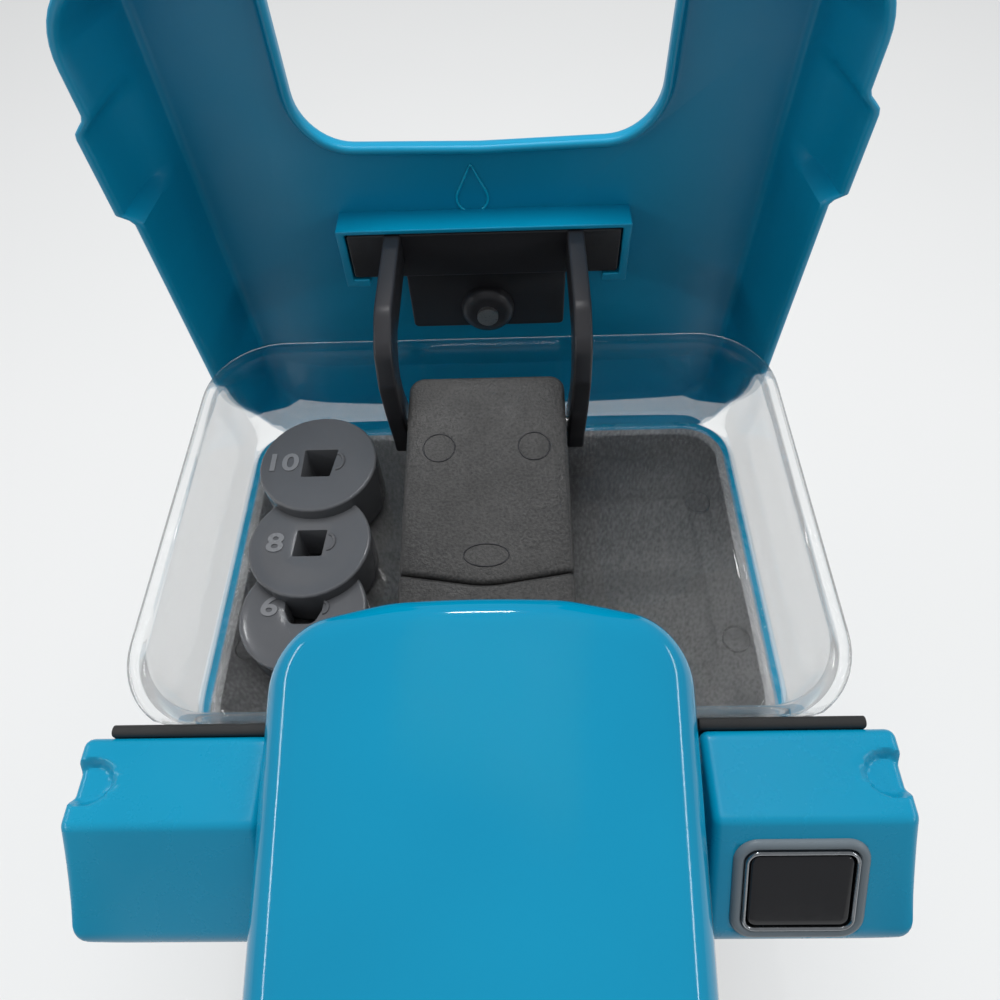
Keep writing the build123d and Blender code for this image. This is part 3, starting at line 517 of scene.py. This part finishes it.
# tank lid
# a U outline; the skirt's depth is full outside, low at the rear and a small flange round the notch
lid = dict(plate=127.5, half=84.5, low=172.0, high=332.0, notchHalf=48.0, notchLow=281.0, wall=2.4,
           skirt=34.0, rearSkirt=17.5, flange=6.5, flare=3.6, edge=4.0, fillet=2.4, foot=1.0, bump=3.8,
           radii=(16, 16, 16, 6, 14, 60, 14, 6, 16), bow=1.2, notchReach=255, notchBlend=6,
           riseLow=178, riseLong=38, gripLow=279, gripHigh=306)
lidLoop, lidOut = softLoop(
    [(-lid["half"], lid["low"]), (lid["half"], lid["low"]), (lid["half"], lid["high"]),
     (lid["notchHalf"], lid["high"]), (lid["notchHalf"], lid["notchLow"]), (0, lid["notchLow"] - lid["bow"]),
     (-lid["notchHalf"], lid["notchLow"]), (-lid["notchHalf"], lid["high"]), (-lid["half"], lid["high"])],
    lid["radii"], 90, 12)
besideNotch = smoothStep((np.abs(lidLoop[:, 0]) - lid["notchHalf"]) / lid["notchBlend"])
besideNotch = np.where(lidLoop[:, 1] > lid["notchReach"], besideNotch, 1)
rearRise = smoothStep((lidLoop[:, 1] - lid["riseLow"]) / lid["riseLong"])
skirtDepth = lid["rearSkirt"] + (lid["skirt"] - lid["rearSkirt"]) * rearRise
lidDepth = lid["flange"] + (skirtDepth - lid["flange"]) * besideNotch
# the finger bump on each side starts sharply and fades out toward the top
grip = smoothStep((lidLoop[:, 1] - lid["gripLow"]) / 1.2) * smoothStep((lid["gripHigh"] - lidLoop[:, 1]) / 5)
grip = grip * (np.abs(lidLoop[:, 0]) > lid["half"] - 1)


# the outline at a depth in front of the plate: flared in step with the depth, bumped out at the grips
def lidLevel(inset, depth):
    flare = depth / lid["skirt"] * lid["flare"] * besideNotch
    out = flare + lid["bump"] * grip * smoothStep((depth - 8) / 14) - inset
    y = lid["plate"] - depth * np.ones(len(lidLoop))
    return np.column_stack([lidLoop[:, 0] + out * lidOut[:, 0], y, lidLoop[:, 1] + out * lidOut[:, 1]])


# rounded edge, wall, rounded lip, wall inside, and the fillet into the plate
lip = lid["wall"] / 2
bend = lid["wall"] + lid["fillet"] - lid["foot"]
lidLevels = []
for angle in np.linspace(0, np.pi / 2, 7):
    lidLevels.append(lidLevel(lid["edge"] * (1 - math.sin(angle)), lid["edge"] * (1 - math.cos(angle))))
for share in np.linspace(0, 1, 9)[1:]:
    lidLevels.append(lidLevel(0, lid["edge"] + (lidDepth - lip - lid["edge"]) * share))
for angle in np.linspace(0, np.pi, 7)[1:]:
    lidLevels.append(lidLevel(lip * (1 - math.cos(angle)), lidDepth - lip * (1 - math.sin(angle))))
for share in np.linspace(0, 1, 9)[1:]:
    lidLevels.append(lidLevel(lid["wall"], lidDepth - lip + (bend - lidDepth + lip) * share))
for angle in np.linspace(0, np.pi / 2, 6)[1:]:
    inset = lid["wall"] + lid["fillet"] * (1 - math.cos(angle))
    lidLevels.append(lidLevel(inset, bend - (lid["fillet"] - lid["foot"]) * math.sin(angle)))
# the lid's lighter teal is painted light; the socket rib below shares it
buildPiece("tankLid", [(np.stack(lidLevels), True, True)], "lidTealPaintedLight", "lid", ("tank_lid",))

# the rib round the bracket's seat: an outline with two feet, standing forward from the plate
socket = dict(corners=[(-43.4, 238.3), (-36, 238.3), (-36, 240.9), (-41, 240.9), (-41, 257.1), (41, 257.1),
                       (41, 240.9), (36, 240.9), (36, 238.3), (43.4, 238.3), (43.4, 258.5), (-43.4, 258.5)],
              radius=0.5, deep=115.6, face=125.6, rim=0.35)
seatLoop, seatOut = softLoop(socket["corners"], socket["radius"], 4, 3)
seatSteps = slabSteps(socket["deep"], socket["face"], socket["rim"])
seatLevels = slabLevels(seatLoop, seatOut, seatSteps, towardFront)
buildPiece("lidSocket", [(seatLevels, True, True)], "lidTealPaintedLight", "lid")

# the water drop: a thin raised line, a circle below drawn to a point above
drop = dict(x=-3.0, z=262.0, radius=4.6, tall=9.5, line=0.42, face=125.0, pinch=0.62)
turnAngle = np.linspace(0, 2 * np.pi, 72, endpoint=False)
pull = np.clip(np.sin(turnAngle), 0, 1) ** 3
dropX = drop["x"] + drop["radius"] * np.cos(turnAngle) * (1 - drop["pinch"] * pull)
dropZ = drop["z"] + drop["radius"] * np.sin(turnAngle) + drop["tall"] * drop["pinch"] * pull
roundAngle = np.linspace(0, 2 * np.pi, 8, endpoint=False)
outX, outZ = np.cos(turnAngle), np.sin(turnAngle)
dropLevels = np.stack([
    dropX[:, None] + drop["line"] * np.cos(roundAngle)[None, :] * outX[:, None],
    drop["face"] + 0 * dropX[:, None] + drop["line"] * np.sin(roundAngle)[None, :],
    dropZ[:, None] + drop["line"] * np.cos(roundAngle)[None, :] * outZ[:, None]], -1)
dropLevels = np.concatenate([dropLevels, dropLevels[:1]])
# the drop's lighter teal is a painted highlight on the raised line
buildPiece("waterDrop", [(dropLevels, False, False)], "dropTealPaintedHighlight", "lid", sharp=60)
print("lid made")


# lid bracket
# bar, web and boss stand forward from the lid's plate, each given as half its width, its low and its high Z;
# each arm is a goose-neck outline given thickness along X; the boss is turned from pairs of inset and Y
bracket = dict(bar=(40.6, 241.4, 256.6), barFace=116.0, web=(25, 218, 243), webFace=119.0, back=124.8,
               armInner=24.5, armOuter=29.5, bossZ=226.0, bossRadius=8.6,
               boss=[(3.2, 115.2), (2.2, 115.6), (0.9, 116.2), (0.2, 117.2), (0, 119), (-0.6, 122), (-1.2, 124.8)])
barLoop, barOut = softLoop(boxCorners(*bracket["bar"]), 1.0, 12, 4)
webLoop, webOut = softLoop(boxCorners(*bracket["web"]), 1.5, 8, 4)
neck = [(124.6, 256.6), (84, 256.6), (73.5, 251.2), (70.2, 240.7), (71, 228), (73.6, 213), (73.8, 206.4),
        (86, 206.4), (86, 213), (80, 230), (79.2, 238.3), (85, 245.3), (124.6, 245.3)]
neckLoop, neckOut = softLoop(neck, (1, 9, 7, 7, 20, 12, 2.5, 2.5, 6, 14, 7, 7, 1), 5, 6)
bossLoop, bossOut = ringLoop(bracket["bossRadius"], 48)
bossLoop = bossLoop + np.array([0, bracket["bossZ"]])
barSteps = slabSteps(bracket["barFace"], bracket["back"], 0.6)
webSteps = slabSteps(bracket["webFace"], bracket["back"], 0.5)
surfaces = [
    (slabLevels(barLoop, barOut, barSteps, towardFront), True, True),
    (slabLevels(webLoop, webOut, webSteps, towardFront), True, True),
    (slabLevels(bossLoop, bossOut, bracket["boss"], towardFront), True, True),
]
for steps in twinSteps(bracket["armInner"], bracket["armOuter"], 0.8):
    surfaces.append((slabLevels(neckLoop, neckOut, steps, alongX), True, True))
buildPiece("bracketArms", surfaces, "satinBlack", "lid", ("lid_bracket",))
print("bracket made")


# clear tank
# loops between a floor outline and a wider top outline; the wall runs up, turns into the rim and comes back inside
tub = dict(low=192.5, high=224.5, floor=195.0, wall=2.5, foot=5.0, innerFoot=6.0, floorHalf=80.0, topHalf=85.0,
           front=-17.0, floorBack=95.5, topBack=104.0, wallTop=221.0, middle=50)


floorLoop, floorOut = softLoop(boxCorners(tub["floorHalf"], tub["front"], tub["floorBack"]), 16, 28, 14)
topLoop, _ = softLoop(boxCorners(tub["topHalf"], tub["front"], tub["topBack"]), 20, 28, 14)


def tubLevel(height, inset):
    share = min(max((height - tub["low"]) / (tub["high"] - tub["low"]), 0), 1)
    flat = floorLoop + (topLoop - floorLoop) * share - inset * floorOut
    flat[:, 1] = np.maximum(flat[:, 1], tub["front"] + max(inset, 0))
    return upFrom(flat, height)


tubLevels = []
outerFoot = tubLevel(tub["low"], tub["foot"])[:, :2]
for share in np.linspace(1, 0, 6, endpoint=False):
    tubLevels.append(upFrom(toSpine(outerFoot, tub["middle"], tub["middle"], share), tub["low"]))
for angle in np.linspace(0, np.pi / 2, 7):
    height = tub["low"] + tub["foot"] * (1 - math.cos(angle))
    tubLevels.append(tubLevel(height, tub["foot"] * (1 - math.sin(angle))))
wallLow = tub["low"] + tub["foot"]
for share in np.linspace(0, 1, 7)[1:]:
    tubLevels.append(tubLevel(wallLow + (tub["wallTop"] - wallLow) * share, 0))
# the rim as pairs of height and inset, from under its lip over the top to the inside of the wall
rimSteps = [(222.0, -0.6), (222.1, -1.6), (222.4, -2.5), (223.0, -2.9), (223.6, -2.95), (224.1, -2.6), (224.4, -1.9),
            (224.5, -0.9), (224.5, 0.6), (224.35, 1.5), (224.0, 2.1), (223.4, 2.45), (222.4, 2.5)]
tubLevels += [tubLevel(height, inset) for height, inset in rimSteps]
insideTop = rimSteps[-1][0]
insideLow = tub["floor"] + tub["innerFoot"]
for share in np.linspace(0, 1, 7)[1:]:
    tubLevels.append(tubLevel(insideTop + (insideLow - insideTop) * share, tub["wall"]))
for angle in np.linspace(0, np.pi / 2, 7)[1:]:
    height = tub["floor"] + tub["innerFoot"] * (1 - math.sin(angle))
    tubLevels.append(tubLevel(height, tub["wall"] + tub["innerFoot"] * (1 - math.cos(angle))))
innerFoot = tubLevels[-1][:, :2]
for share in np.linspace(0, 1, 7)[1:]:
    tubLevels.append(upFrom(toSpine(innerFoot, tub["middle"], tub["middle"], share), tub["floor"]))
buildPiece("clearTank", [(np.stack(tubLevels), False, False)], "clear", "base", ("tank",))

# the riser's chimney: a tube standing on the floor, with a rounded top, from pairs of inset and height
chimney = dict(x=-8.0, y=6.0, outer=5.8, profile=[(0, 194.9), (0, 208.2), (0.3, 208.8), (1.0, 209), (1.7, 208.8),
                                                  (2.0, 208.2), (2.0, 194.9), (0, 194.9)])
pipeLoop, pipeOut = ringLoop(chimney["outer"], 40)
pipeLoop = pipeLoop + np.array([chimney["x"], chimney["y"]])
pipeLevels = slabLevels(pipeLoop, pipeOut, chimney["profile"], upFrom)
buildPiece("riserChimney", [(pipeLevels, False, False)], "clear", "base")
print("tank made")


# fill gauge
# each disc is a ring: the hole's outline below, up, across the top to the rim, and down the wall
gauge = dict(x=-52.0, radius=17.8, floor=195.0, rim=0.8, lip=0.25, holeEdge=0.35, line=0.55)
mugTall = [(-4.6, -5.0), (4.0, -5.0), (5.6, 5.0), (-4.6, 5.0)]
mugSquare = [(-4.4, -4.3), (3.9, -4.3), (4.6, 4.3), (-4.0, 4.3)]
mugBowl = [(-3.4, -3.6), (3.4, -3.6), (5.2, 0.5), (5.4, 3.4), (-5.4, 3.4), (-5.2, 0.5)]
discs = [
    dict(y=20.0, height=10.0, hole=mugBowl, radii=(2.6, 2.6, 1.6, 0.3, 0.3, 1.6), handle=(6.2, 1.2, 1.7)),
    dict(y=40.0, height=14.0, hole=mugSquare, radii=0.4, handle=(5.9, 0.3, 2.6)),
    dict(y=66.0, height=18.0, hole=mugTall, radii=0.4, handle=(6.2, 0.4, 2.9)),
]
surfaces = []
for disc in discs:
    holeLoop, holeOut = softLoop(disc["hole"], disc["radii"], 8, 5)
    bearing = np.arctan2(holeLoop[:, 1], holeLoop[:, 0])
    around = np.stack([np.cos(bearing), np.sin(bearing)], 1)
    top = gauge["floor"] + disc["height"]
    shift = np.array([gauge["x"], disc["y"]])
    holeEdge = holeLoop + gauge["holeEdge"] * holeOut
    levels = [upFrom(shift + holeLoop, gauge["floor"]), upFrom(shift + holeLoop, top - gauge["holeEdge"]),
              upFrom(shift + holeLoop + 0.1 * holeOut, top - 0.1), upFrom(shift + holeEdge, top)]
    rimInner = gauge["radius"] - 1.5
    for share in (0.35, 0.7, 1.0):
        levels.append(upFrom(shift + holeEdge * (1 - share) + around * rimInner * share, top))
    for angle in np.linspace(0, np.pi / 2, 6):
        radius = gauge["radius"] - gauge["rim"] * (1 - math.sin(angle))
        height = top + gauge["lip"] - gauge["rim"] * (1 - math.cos(angle))
        levels.append(upFrom(shift + around * radius, height))
    levels += [upFrom(shift + around * gauge["radius"], gauge["floor"] + 0.4),
               upFrom(shift + around * (gauge["radius"] - 0.4), gauge["floor"]),
               upFrom(shift + holeLoop, gauge["floor"])]
    surfaces.append((np.stack(levels), False, False))
    # the handle: a thin tube bent into a half ring beside the hole, half sunk in the top
    handleX, handleY, handleRadius = disc["handle"]
    bend = np.linspace(-np.pi / 2, np.pi / 2, 17)
    tube = []
    for angle in bend:
        centre = shift + np.array([handleX - 0.6 + handleRadius * 0.72 * math.cos(angle),
                                   handleY + handleRadius * math.sin(angle)])
        away = np.array([math.cos(angle), math.sin(angle)])
        tube.append(np.column_stack([centre + gauge["line"] * np.cos(roundAngle)[:, None] * away,
                                     top + gauge["line"] * np.sin(roundAngle)]))
    surfaces.append((np.stack(tube), True, True))
buildPiece("gaugeDiscs", surfaces, "gaugeGrey", "base", ("fill_gauge",), sharp=40)

# each number is set as text, made a mesh and stretched to its width and height on the top of its disc
numerals = [
    dict(text="10", x=-62.2, y=66.3, top=213.0, wide=8.6, tall=6.6),
    dict(text="8", x=-62.0, y=40.2, top=209.0, wide=5.0, tall=6.4),
    dict(text="6", x=-61.6, y=21.8, top=205.0, wide=4.8, tall=6.2),
]
for numeral in numerals:
    letters = bpy.data.curves.new("letters", "FONT")
    letters.body = numeral["text"]
    letters.extrude = 0.05
    letters.offset = 0.022
    letters.resolution_u = 4
    holder = bpy.data.objects.new("letters", letters)
    bpy.context.scene.collection.objects.link(holder)
    bpy.context.view_layer.update()
    shape = bpy.data.meshes.new_from_object(holder.evaluated_get(bpy.context.evaluated_depsgraph_get()))
    bpy.data.objects.remove(holder)
    place = np.zeros(len(shape.vertices) * 3)
    shape.vertices.foreach_get("co", place)
    place = place.reshape(-1, 3)
    low, high = place.min(0), place.max(0)
    share = (place - low) / (high - low) - 0.5
    spread = np.array([numeral["wide"], numeral["tall"], 0.7])   # the last is its thickness
    placed = share * spread + np.array([numeral["x"], numeral["y"], numeral["top"]])
    shape.vertices.foreach_set("co", (placed * mm).ravel())
    shape.materials.clear()
    shape.materials.append(made["numeralGrey"])
    numberPiece = bpy.data.objects.new("numeral" + numeral["text"], shape)
    bpy.context.scene.collection.objects.link(numberPiece)
    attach(numberPiece, "base")
print("gauge made")


# tower
# two hollow caps whose tops rise to the rear; they meet on a chevron
tower = dict(half=23.0, front=-13.5, back=84.5, topFront=217.5, slope=0.124, wall=2.5, edge=1.2, floor=195.0,
             bodySide=22.5, bodyTip=19.0, noseSide=22.1, noseTip=18.6, bodySpine=(40, 66), noseSpine=(4, 6))


# top: rises by slope from the front; bottom: flat on the tank's floor
def towerTop(flat):
    return tower["topFront"] + tower["slope"] * (flat[:, 1] - tower["front"])


def towerLow(flat):
    return np.full(len(flat), tower["floor"])


def towerShell(corners, radii, spine):
    loop, normals = softLoop(corners, radii, 14, 7)
    return capShell(loop, normals, towerTop, towerLow, tower["edge"], tower["wall"], spine, 5, 6)


half = tower["half"]
bodyCorners = [(-half, tower["bodySide"]), (0, tower["bodyTip"]), (half, tower["bodySide"]), (half, tower["back"]),
               (-half, tower["back"])]
noseCorners = [(-half, tower["front"]), (half, tower["front"]), (half, tower["noseSide"]), (0, tower["noseTip"]),
               (-half, tower["noseSide"])]
bodyShell = towerShell(bodyCorners, (1.3, 30, 1.3, 4.5, 4.5), tower["bodySpine"])
noseShell = towerShell(noseCorners, (2, 2, 1.3, 30, 1.3), tower["noseSpine"])
buildPiece("towerCap", [(bodyShell, False, False)], "sparkBlack", "base", ("tower_body",))
buildPiece("towerNose", [(noseShell, False, False)], "sparkBlack", "base", ("tower_nose",))

# two posts on the nose that carry the brew head's pins: a side outline with a round top, given thickness along X
post = dict(corners=[(-13.4, 214.5), (-7.0, 214.5), (-6.6, 240), (-6.6, 248.4), (-15.4, 248.4), (-15.4, 240)],
            radii=(0.6, 0.6, 2, 4.3, 4.3, 2), inner=15.0, outer=20.5, rim=0.5)
postLoop, postOut = softLoop(post["corners"], post["radii"], 4, 7)
surfaces = [(slabLevels(postLoop, postOut, steps, alongX), True, True)
            for steps in twinSteps(post["inner"], post["outer"], post["rim"])]
buildPiece("hingePosts", surfaces, "sparkBlack", "base")

# moulding marks on the tower: thin raised rings that lie on its sloping top
markLine = 0.22
marks = [dict(x=-13.5, y=60.0, wide=4.5, deep=4.5), dict(x=13.5, y=60.0, wide=4.5, deep=4.5),
         dict(x=0.0, y=27.0, wide=6.0, deep=3.2)]
surfaces = []
for mark in marks:
    ringX = mark["x"] + mark["wide"] * np.cos(turnAngle)
    ringY = mark["y"] + mark["deep"] * np.sin(turnAngle)
    ringZ = towerTop(np.column_stack([ringX, ringY]))
    ring = np.stack([ringX[:, None] + markLine * np.cos(roundAngle) * outX[:, None],
                     ringY[:, None] + markLine * np.cos(roundAngle) * outZ[:, None],
                     ringZ[:, None] + markLine * np.sin(roundAngle) + 0 * ringX[:, None]], -1)
    surfaces.append((np.concatenate([ring, ring[:1]]), False, False))
buildPiece("towerMarks", surfaces, "satinBlack", "base", sharp=60)
print("tower made")


# front housing
# a side profile swept along X; its ends are rounded, its lower outer corner is lifted by an arc,
# and a scoop sinks into the outer part of the top
front = dict(inner=48.5, outer=92.0, corner=12.0, rim=2.0, wall=2.4, top=224, tall=40,
             profile=[(-20, 184), (-20, 224), (-39.5, 224), (-60, 200), (-54, 184)], radii=(2.2, 2.2, 3.0, 5.5, 3.0),
             scoopX=88.5, scoopY=-30.0, scoopWide=6.5, scoopLong=5.5, scoopDeep=2.6)
profileLoop, profileOut = softLoop(front["profile"], front["radii"], 26, 6)


# the profile at x: lifted by the corner's arc, most at the bottom, and sunk inside the scoop's ellipse
def frontLevel(x, inset):
    flat = profileLoop - inset * profileOut
    y, z = flat[:, 0], flat[:, 1]
    past = max(abs(x) - (front["outer"] - front["corner"]), 0)
    lift = front["corner"] - math.sqrt(max(front["corner"] ** 2 - past ** 2, 0))
    z = z + lift * np.clip((front["top"] - z) / front["tall"], 0, 1) ** 1.5
    reach = np.hypot((abs(x) - front["scoopX"]) / front["scoopWide"], (y - front["scoopY"]) / front["scoopLong"])
    z = z - front["scoopDeep"] * smoothStep((1 - reach) / 0.35) * (z > 215)
    return np.column_stack([np.full(len(y), float(x)), y, z])


# pairs of x and inset from the inner end to the outer end; two stations are the edges of the button's opening
def shoulder(side):
    rim = [(front["rim"] * (1 - math.cos(a)), front["rim"] * (1 - math.sin(a))) for a in np.linspace(0, np.pi / 2, 5)]
    stations = [(front["inner"] + along, inset) for along, inset in rim]
    stations += [(x, 0) for x in (52.5, 54.9, 58, 62, 66, 70, 74, 77, 80.1, 81.6, 83, 84, 85, 86, 87, 88, 89)]
    stations += [(front["outer"] - along, inset) for along, inset in rim[::-1]]
    return np.stack([frontLevel(side * x, inset) for x, inset in stations])


# the seal: a rounded strip along the back of each shoulder
seal = dict(corners=[(-19.9, 215.6), (-17.2, 215.6), (-17.2, 224.2), (-19.9, 224.2)], radii=(0.3, 0.3, 1.2, 1.2),
            inner=48.6, outer=85.9, rim=0.2)
sealLoop, sealOut = softLoop(seal["corners"], seal["radii"], 3, 6)
surfaces = [(slabLevels(sealLoop, sealOut, steps, alongX), True, True)
            for steps in twinSteps(seal["inner"], seal["outer"], seal["rim"])]
buildPiece("sealStrips", surfaces, "softBlack", "base", ("tank_seal",))

# the button's middle on the slope, and the directions up the slope and out of it
buttonPlace = np.array([67.51, -50.57, 211.04])
buttonUp = np.array([0.0, 0.65, 0.76])
buttonOut = np.array([0.0, -0.76, 0.65])
opening = dict(half=12.6, tall=11.0, deep=3)


# the opening for the button: faces whose middle lies inside it on the slope
def overButton(levels, quads):
    middle = levels.reshape(-1, 3)[quads].mean(1) - buttonPlace
    across = np.abs(middle[:, 0]) < opening["half"]
    return across & (np.abs(middle @ buttonUp) < opening["tall"]) & (np.abs(middle @ buttonOut) < opening["deep"])


buildPiece("leftShoulder", [(shoulder(-1), True, True)], "shellTeal", "base", ("front_housing",),
           thick=front["wall"])
buildPiece("rightShoulder", [(shoulder(1), True, True)], "shellTeal", "base", skip=overButton,
           thick=front["wall"])

# the floor between the shoulders, and the tongue under the brew frame with its round opening
bridge = dict(box=(49.5, -54, -20.4), low=184.0, high=186.9, rim=0.5)
tongue = dict(box=(34, -117.9, -50), low=184.1, high=186.9, rim=0.5, hole=15)
chamberY = -72      # the axis of the pod chamber
bridgeLoop, bridgeOut = softLoop(boxCorners(*bridge["box"]), 1.2, 6, 4)
bridgeSteps = slabSteps(bridge["low"], bridge["high"], bridge["rim"])
tongueLoop, tongueOut = softLoop(boxCorners(*tongue["box"]), 1.5, 16, 4)
bearing = np.arctan2(tongueLoop[:, 1] - chamberY, tongueLoop[:, 0])
holeRing = np.stack([tongue["hole"] * np.cos(bearing), chamberY + tongue["hole"] * np.sin(bearing)], 1)
tongueEdge = tongueLoop - tongue["rim"] * tongueOut
tongueLevels = [upFrom(holeRing, 184.3), upFrom(holeRing, tongue["high"]), upFrom(tongueEdge, tongue["high"]),
                upFrom(tongueLoop, 186.4), upFrom(tongueLoop, 184.7), upFrom(tongueEdge, tongue["low"]),
                upFrom(holeRing, tongue["low"])]
buildPiece("housingFloor", [(slabLevels(bridgeLoop, bridgeOut, bridgeSteps, upFrom), True, True),
                            (np.stack(tongueLevels + tongueLevels[:1]), False, False)],
           "shellTeal", "base")
print("front housing made")


# button
# loops of rounded rectangles laid in the sloping plane, at heights along its normal
def onSlope(flat, height):
    return buttonPlace + flat[:, :1] * np.array([1.0, 0, 0]) + flat[:, 1:] * buttonUp + height * buttonOut


def rectLoop(wide, tall, radius):
    return softLoop(boxCorners(wide / 2, -tall / 2, tall / 2), radius, 8, 8)


# width, height and corner radius of each, and its section as pairs of inset and height
bezel = dict(size=(29.1, 25.1, 5.2),
             section=[(2.3, -6), (2.3, 0.4), (2.1, 0.9), (1.7, 1.15), (1.2, 1.2), (0.7, 1.1), (0.3, 0.8), (0.05, 0.4),
                      (0, 0.05), (1.3, 0.0), (1.3, -6), (2.3, -6)])
keyFrame = dict(size=(24.4, 20.4, 3.0),
                section=[(0, -6), (0, 1.1), (0.12, 1.4), (0.4, 1.5), (0.7, 1.4), (0.88, 1.1), (0.88, -6), (0, -6)])
key = dict(size=(21.8, 17.8, 2.0),
           section=[(0, -6.8), (0, 0.75), (0.08, 0.98), (0.25, 1.12), (0.5, 1.18), (1.4, 1.19)])
bezelLevels = slabLevels(*rectLoop(*bezel["size"]), bezel["section"], onSlope)
buildPiece("buttonBezel", [(bezelLevels, False, False)], "bezelGrey", "base", ("button_bezel",),
           sharp=50)
frameLevels = slabLevels(*rectLoop(*keyFrame["size"]), keyFrame["section"], onSlope)
buildPiece("buttonFrame", [(frameLevels, False, False)], "silver", "base", ("button_frame",),
           sharp=50)
keyLevels = slabLevels(*rectLoop(*key["size"]), key["section"], onSlope)
buildPiece("buttonKey", [(keyLevels, True, True)], "glossBlack", "button", ("brew_button",))
print("button made")


# base and drip tray
# slabs with rounded rims; the tray is one profile carried round its outline, down inside and across its floor
plate = dict(half=86, front=-124, back=96, radius=18, low=3.0, high=9.0, rim=1.6)
rail = dict(inner=62.3, back=-20.3, radius=2.4, low=7.0, high=27.0, rim=2.2)
baseLoop, baseOut = softLoop(boxCorners(plate["half"], plate["front"], plate["back"]), plate["radius"], 20, 12)
baseSteps = slabSteps(plate["low"], plate["high"], plate["rim"])
surfaces = [(slabLevels(baseLoop, baseOut, baseSteps, upFrom), True, True)]
railSteps = slabSteps(rail["low"], rail["high"], rail["rim"], 6)
for side in (-1, 1):
    corners = [(rail["inner"], plate["front"]), (plate["half"], plate["front"]), (plate["half"], rail["back"]),
               (rail["inner"], rail["back"])]
    railRadii = [rail["radius"], plate["radius"], rail["radius"], rail["radius"]]
    if side < 0:
        corners = [(-x, y) for x, y in corners][::-1]
        railRadii = railRadii[::-1]
    railLoop, railOut = softLoop(corners, railRadii, 14, 10)
    surfaces.append((slabLevels(railLoop, railOut, railSteps, upFrom), True, True))
buildPiece("basePlate", surfaces, "satinBlack", "base", ("base_plate",))

tray = dict(box=(62, -122, -26), radius=6,
            section=[(1.5, 9.3), (0.4, 9.7), (0, 10.8), (0, 26.4), (0.3, 27.05), (0.9, 27.3), (1.5, 27.1),
                     (1.95, 26.5), (2, 24.4), (2.2, 24.2), (3.8, 24.1), (4.0, 23.6), (4.0, 12.8), (4.4, 11.8),
                     (5.4, 11.3)])
trayLoop, trayOut = softLoop(boxCorners(*tray["box"]), tray["radius"], 20, 8)
trayLevels = slabLevels(trayLoop, trayOut, tray["section"], upFrom)
buildPiece("dripTray", [(trayLevels, True, True)], "satinBlack", "tray", ("drip_tray",))

# the dark panel behind the cup, and the chrome strip under the button's slope
panel = dict(box=(60, 31, 180), radius=10, front=-21.6, back=-20.02, rim=0.7)
panelLoop, panelOut = softLoop(boxCorners(*panel["box"]), panel["radius"], 16, 8)
panelLevels = slabLevels(panelLoop, panelOut, slabSteps(panel["front"], panel["back"], panel["rim"]), towardFront)
buildPiece("bayPanel", [(panelLevels, True, True)], "satinBlack", "base", ("bay_panel",))
trim = dict(corners=[(-54, 180.5), (-49, 180.5), (-49, 184), (-54, 184)], radius=1.6, left=50.0, right=67.0, rim=0.6)
trimLoop, trimOut = softLoop(trim["corners"], trim["radius"], 3, 8)
trimLevels = slabLevels(trimLoop, trimOut, slabSteps(trim["left"], trim["right"], trim["rim"]), alongX)
buildPiece("frontTrim", [(trimLevels, True, True)], "chrome", "base", ("front_trim",))
print("base made")


# pod chamber
# brew frame: from the spout's opening out to the side, up, over the rim and down the bore
block = dict(box=(34, -118, -22), radius=6, low=187.0, top=222.5, rim=2.0, foot=0.6, spout=12.0,
             bore=[(29.4, 224.5), (28.9, 224.3), (28.7, 223.8), (28.7, 189.0), (12.0, 189.0), (12.0, 187.0)])
blockLoop, blockOut = softLoop(boxCorners(*block["box"]), block["radius"], 22, 8)
bearing = np.arctan2(blockLoop[:, 1] - chamberY, blockLoop[:, 0])


def boreRing(radius, height):
    return upFrom(np.stack([radius * np.cos(bearing), chamberY + radius * np.sin(bearing)], 1), height)


blockLevels = [boreRing(block["spout"], block["low"]),
               upFrom(blockLoop - block["foot"] * blockOut, block["low"]),
               upFrom(blockLoop, block["low"] + block["foot"])]
for angle in np.linspace(0, np.pi / 2, 6):
    flat = blockLoop - block["rim"] * (1 - math.cos(angle)) * blockOut
    blockLevels.append(upFrom(flat, block["top"] + block["rim"] * math.sin(angle)))
blockLevels += [boreRing(radius, height) for radius, height in block["bore"]]
buildPiece("brewBlock", [(np.stack(blockLevels), False, False)], "satinBlack", "base", ("brew_frame",))

# pod holder: pairs of radius and height turned about the chamber's axis
holderProfile = [(9, 163), (10.4, 163), (11, 163.6), (11, 188.4), (12, 189), (27.8, 189), (28.4, 189.8),
                 (28.4, 222.9), (27.9, 223.5), (26.1, 223.5), (25.5, 222.9), (25.5, 194), (23.5, 191.8),
                 (3.6, 191.5), (3, 190.9), (3, 181), (9, 180.4), (9, 163)]
circle, _ = ringLoop(1.0, 72)
axis = np.array([0, chamberY])
holderLevels = np.stack([upFrom(circle * radius + axis, height) for radius, height in holderProfile])
buildPiece("podHolder", [(holderLevels, False, False)], "sparkBlack", "base", ("pod_holder",))
print("pod chamber made")


# stage
placeCamera()
layFloor()
lightWorld()
overhead = areaLight("overhead", (0.05, 0.25, 1.35), (0, 0, 0.2), 0.9, 15)
overhead.visible_glossy = False     # otherwise it shows as a pale patch on the head
areaLight("leftStrip", (-0.7, -0.15, 0.62), (0, -0.15, 0.24), 0.9, 1.3, 0.04)
areaLight("rightStrip", (0.75, -0.15, 0.6), (0, -0.15, 0.24), 0.9, 1.2, 0.04)
areaLight("rearStrip", (-0.03, 0.42, 0.9), (0, -0.05, 0.25), 0.2, 0.8, 0.03)
bpy.context.scene.view_settings.view_transform = "Standard"
print("camera and lights placed")
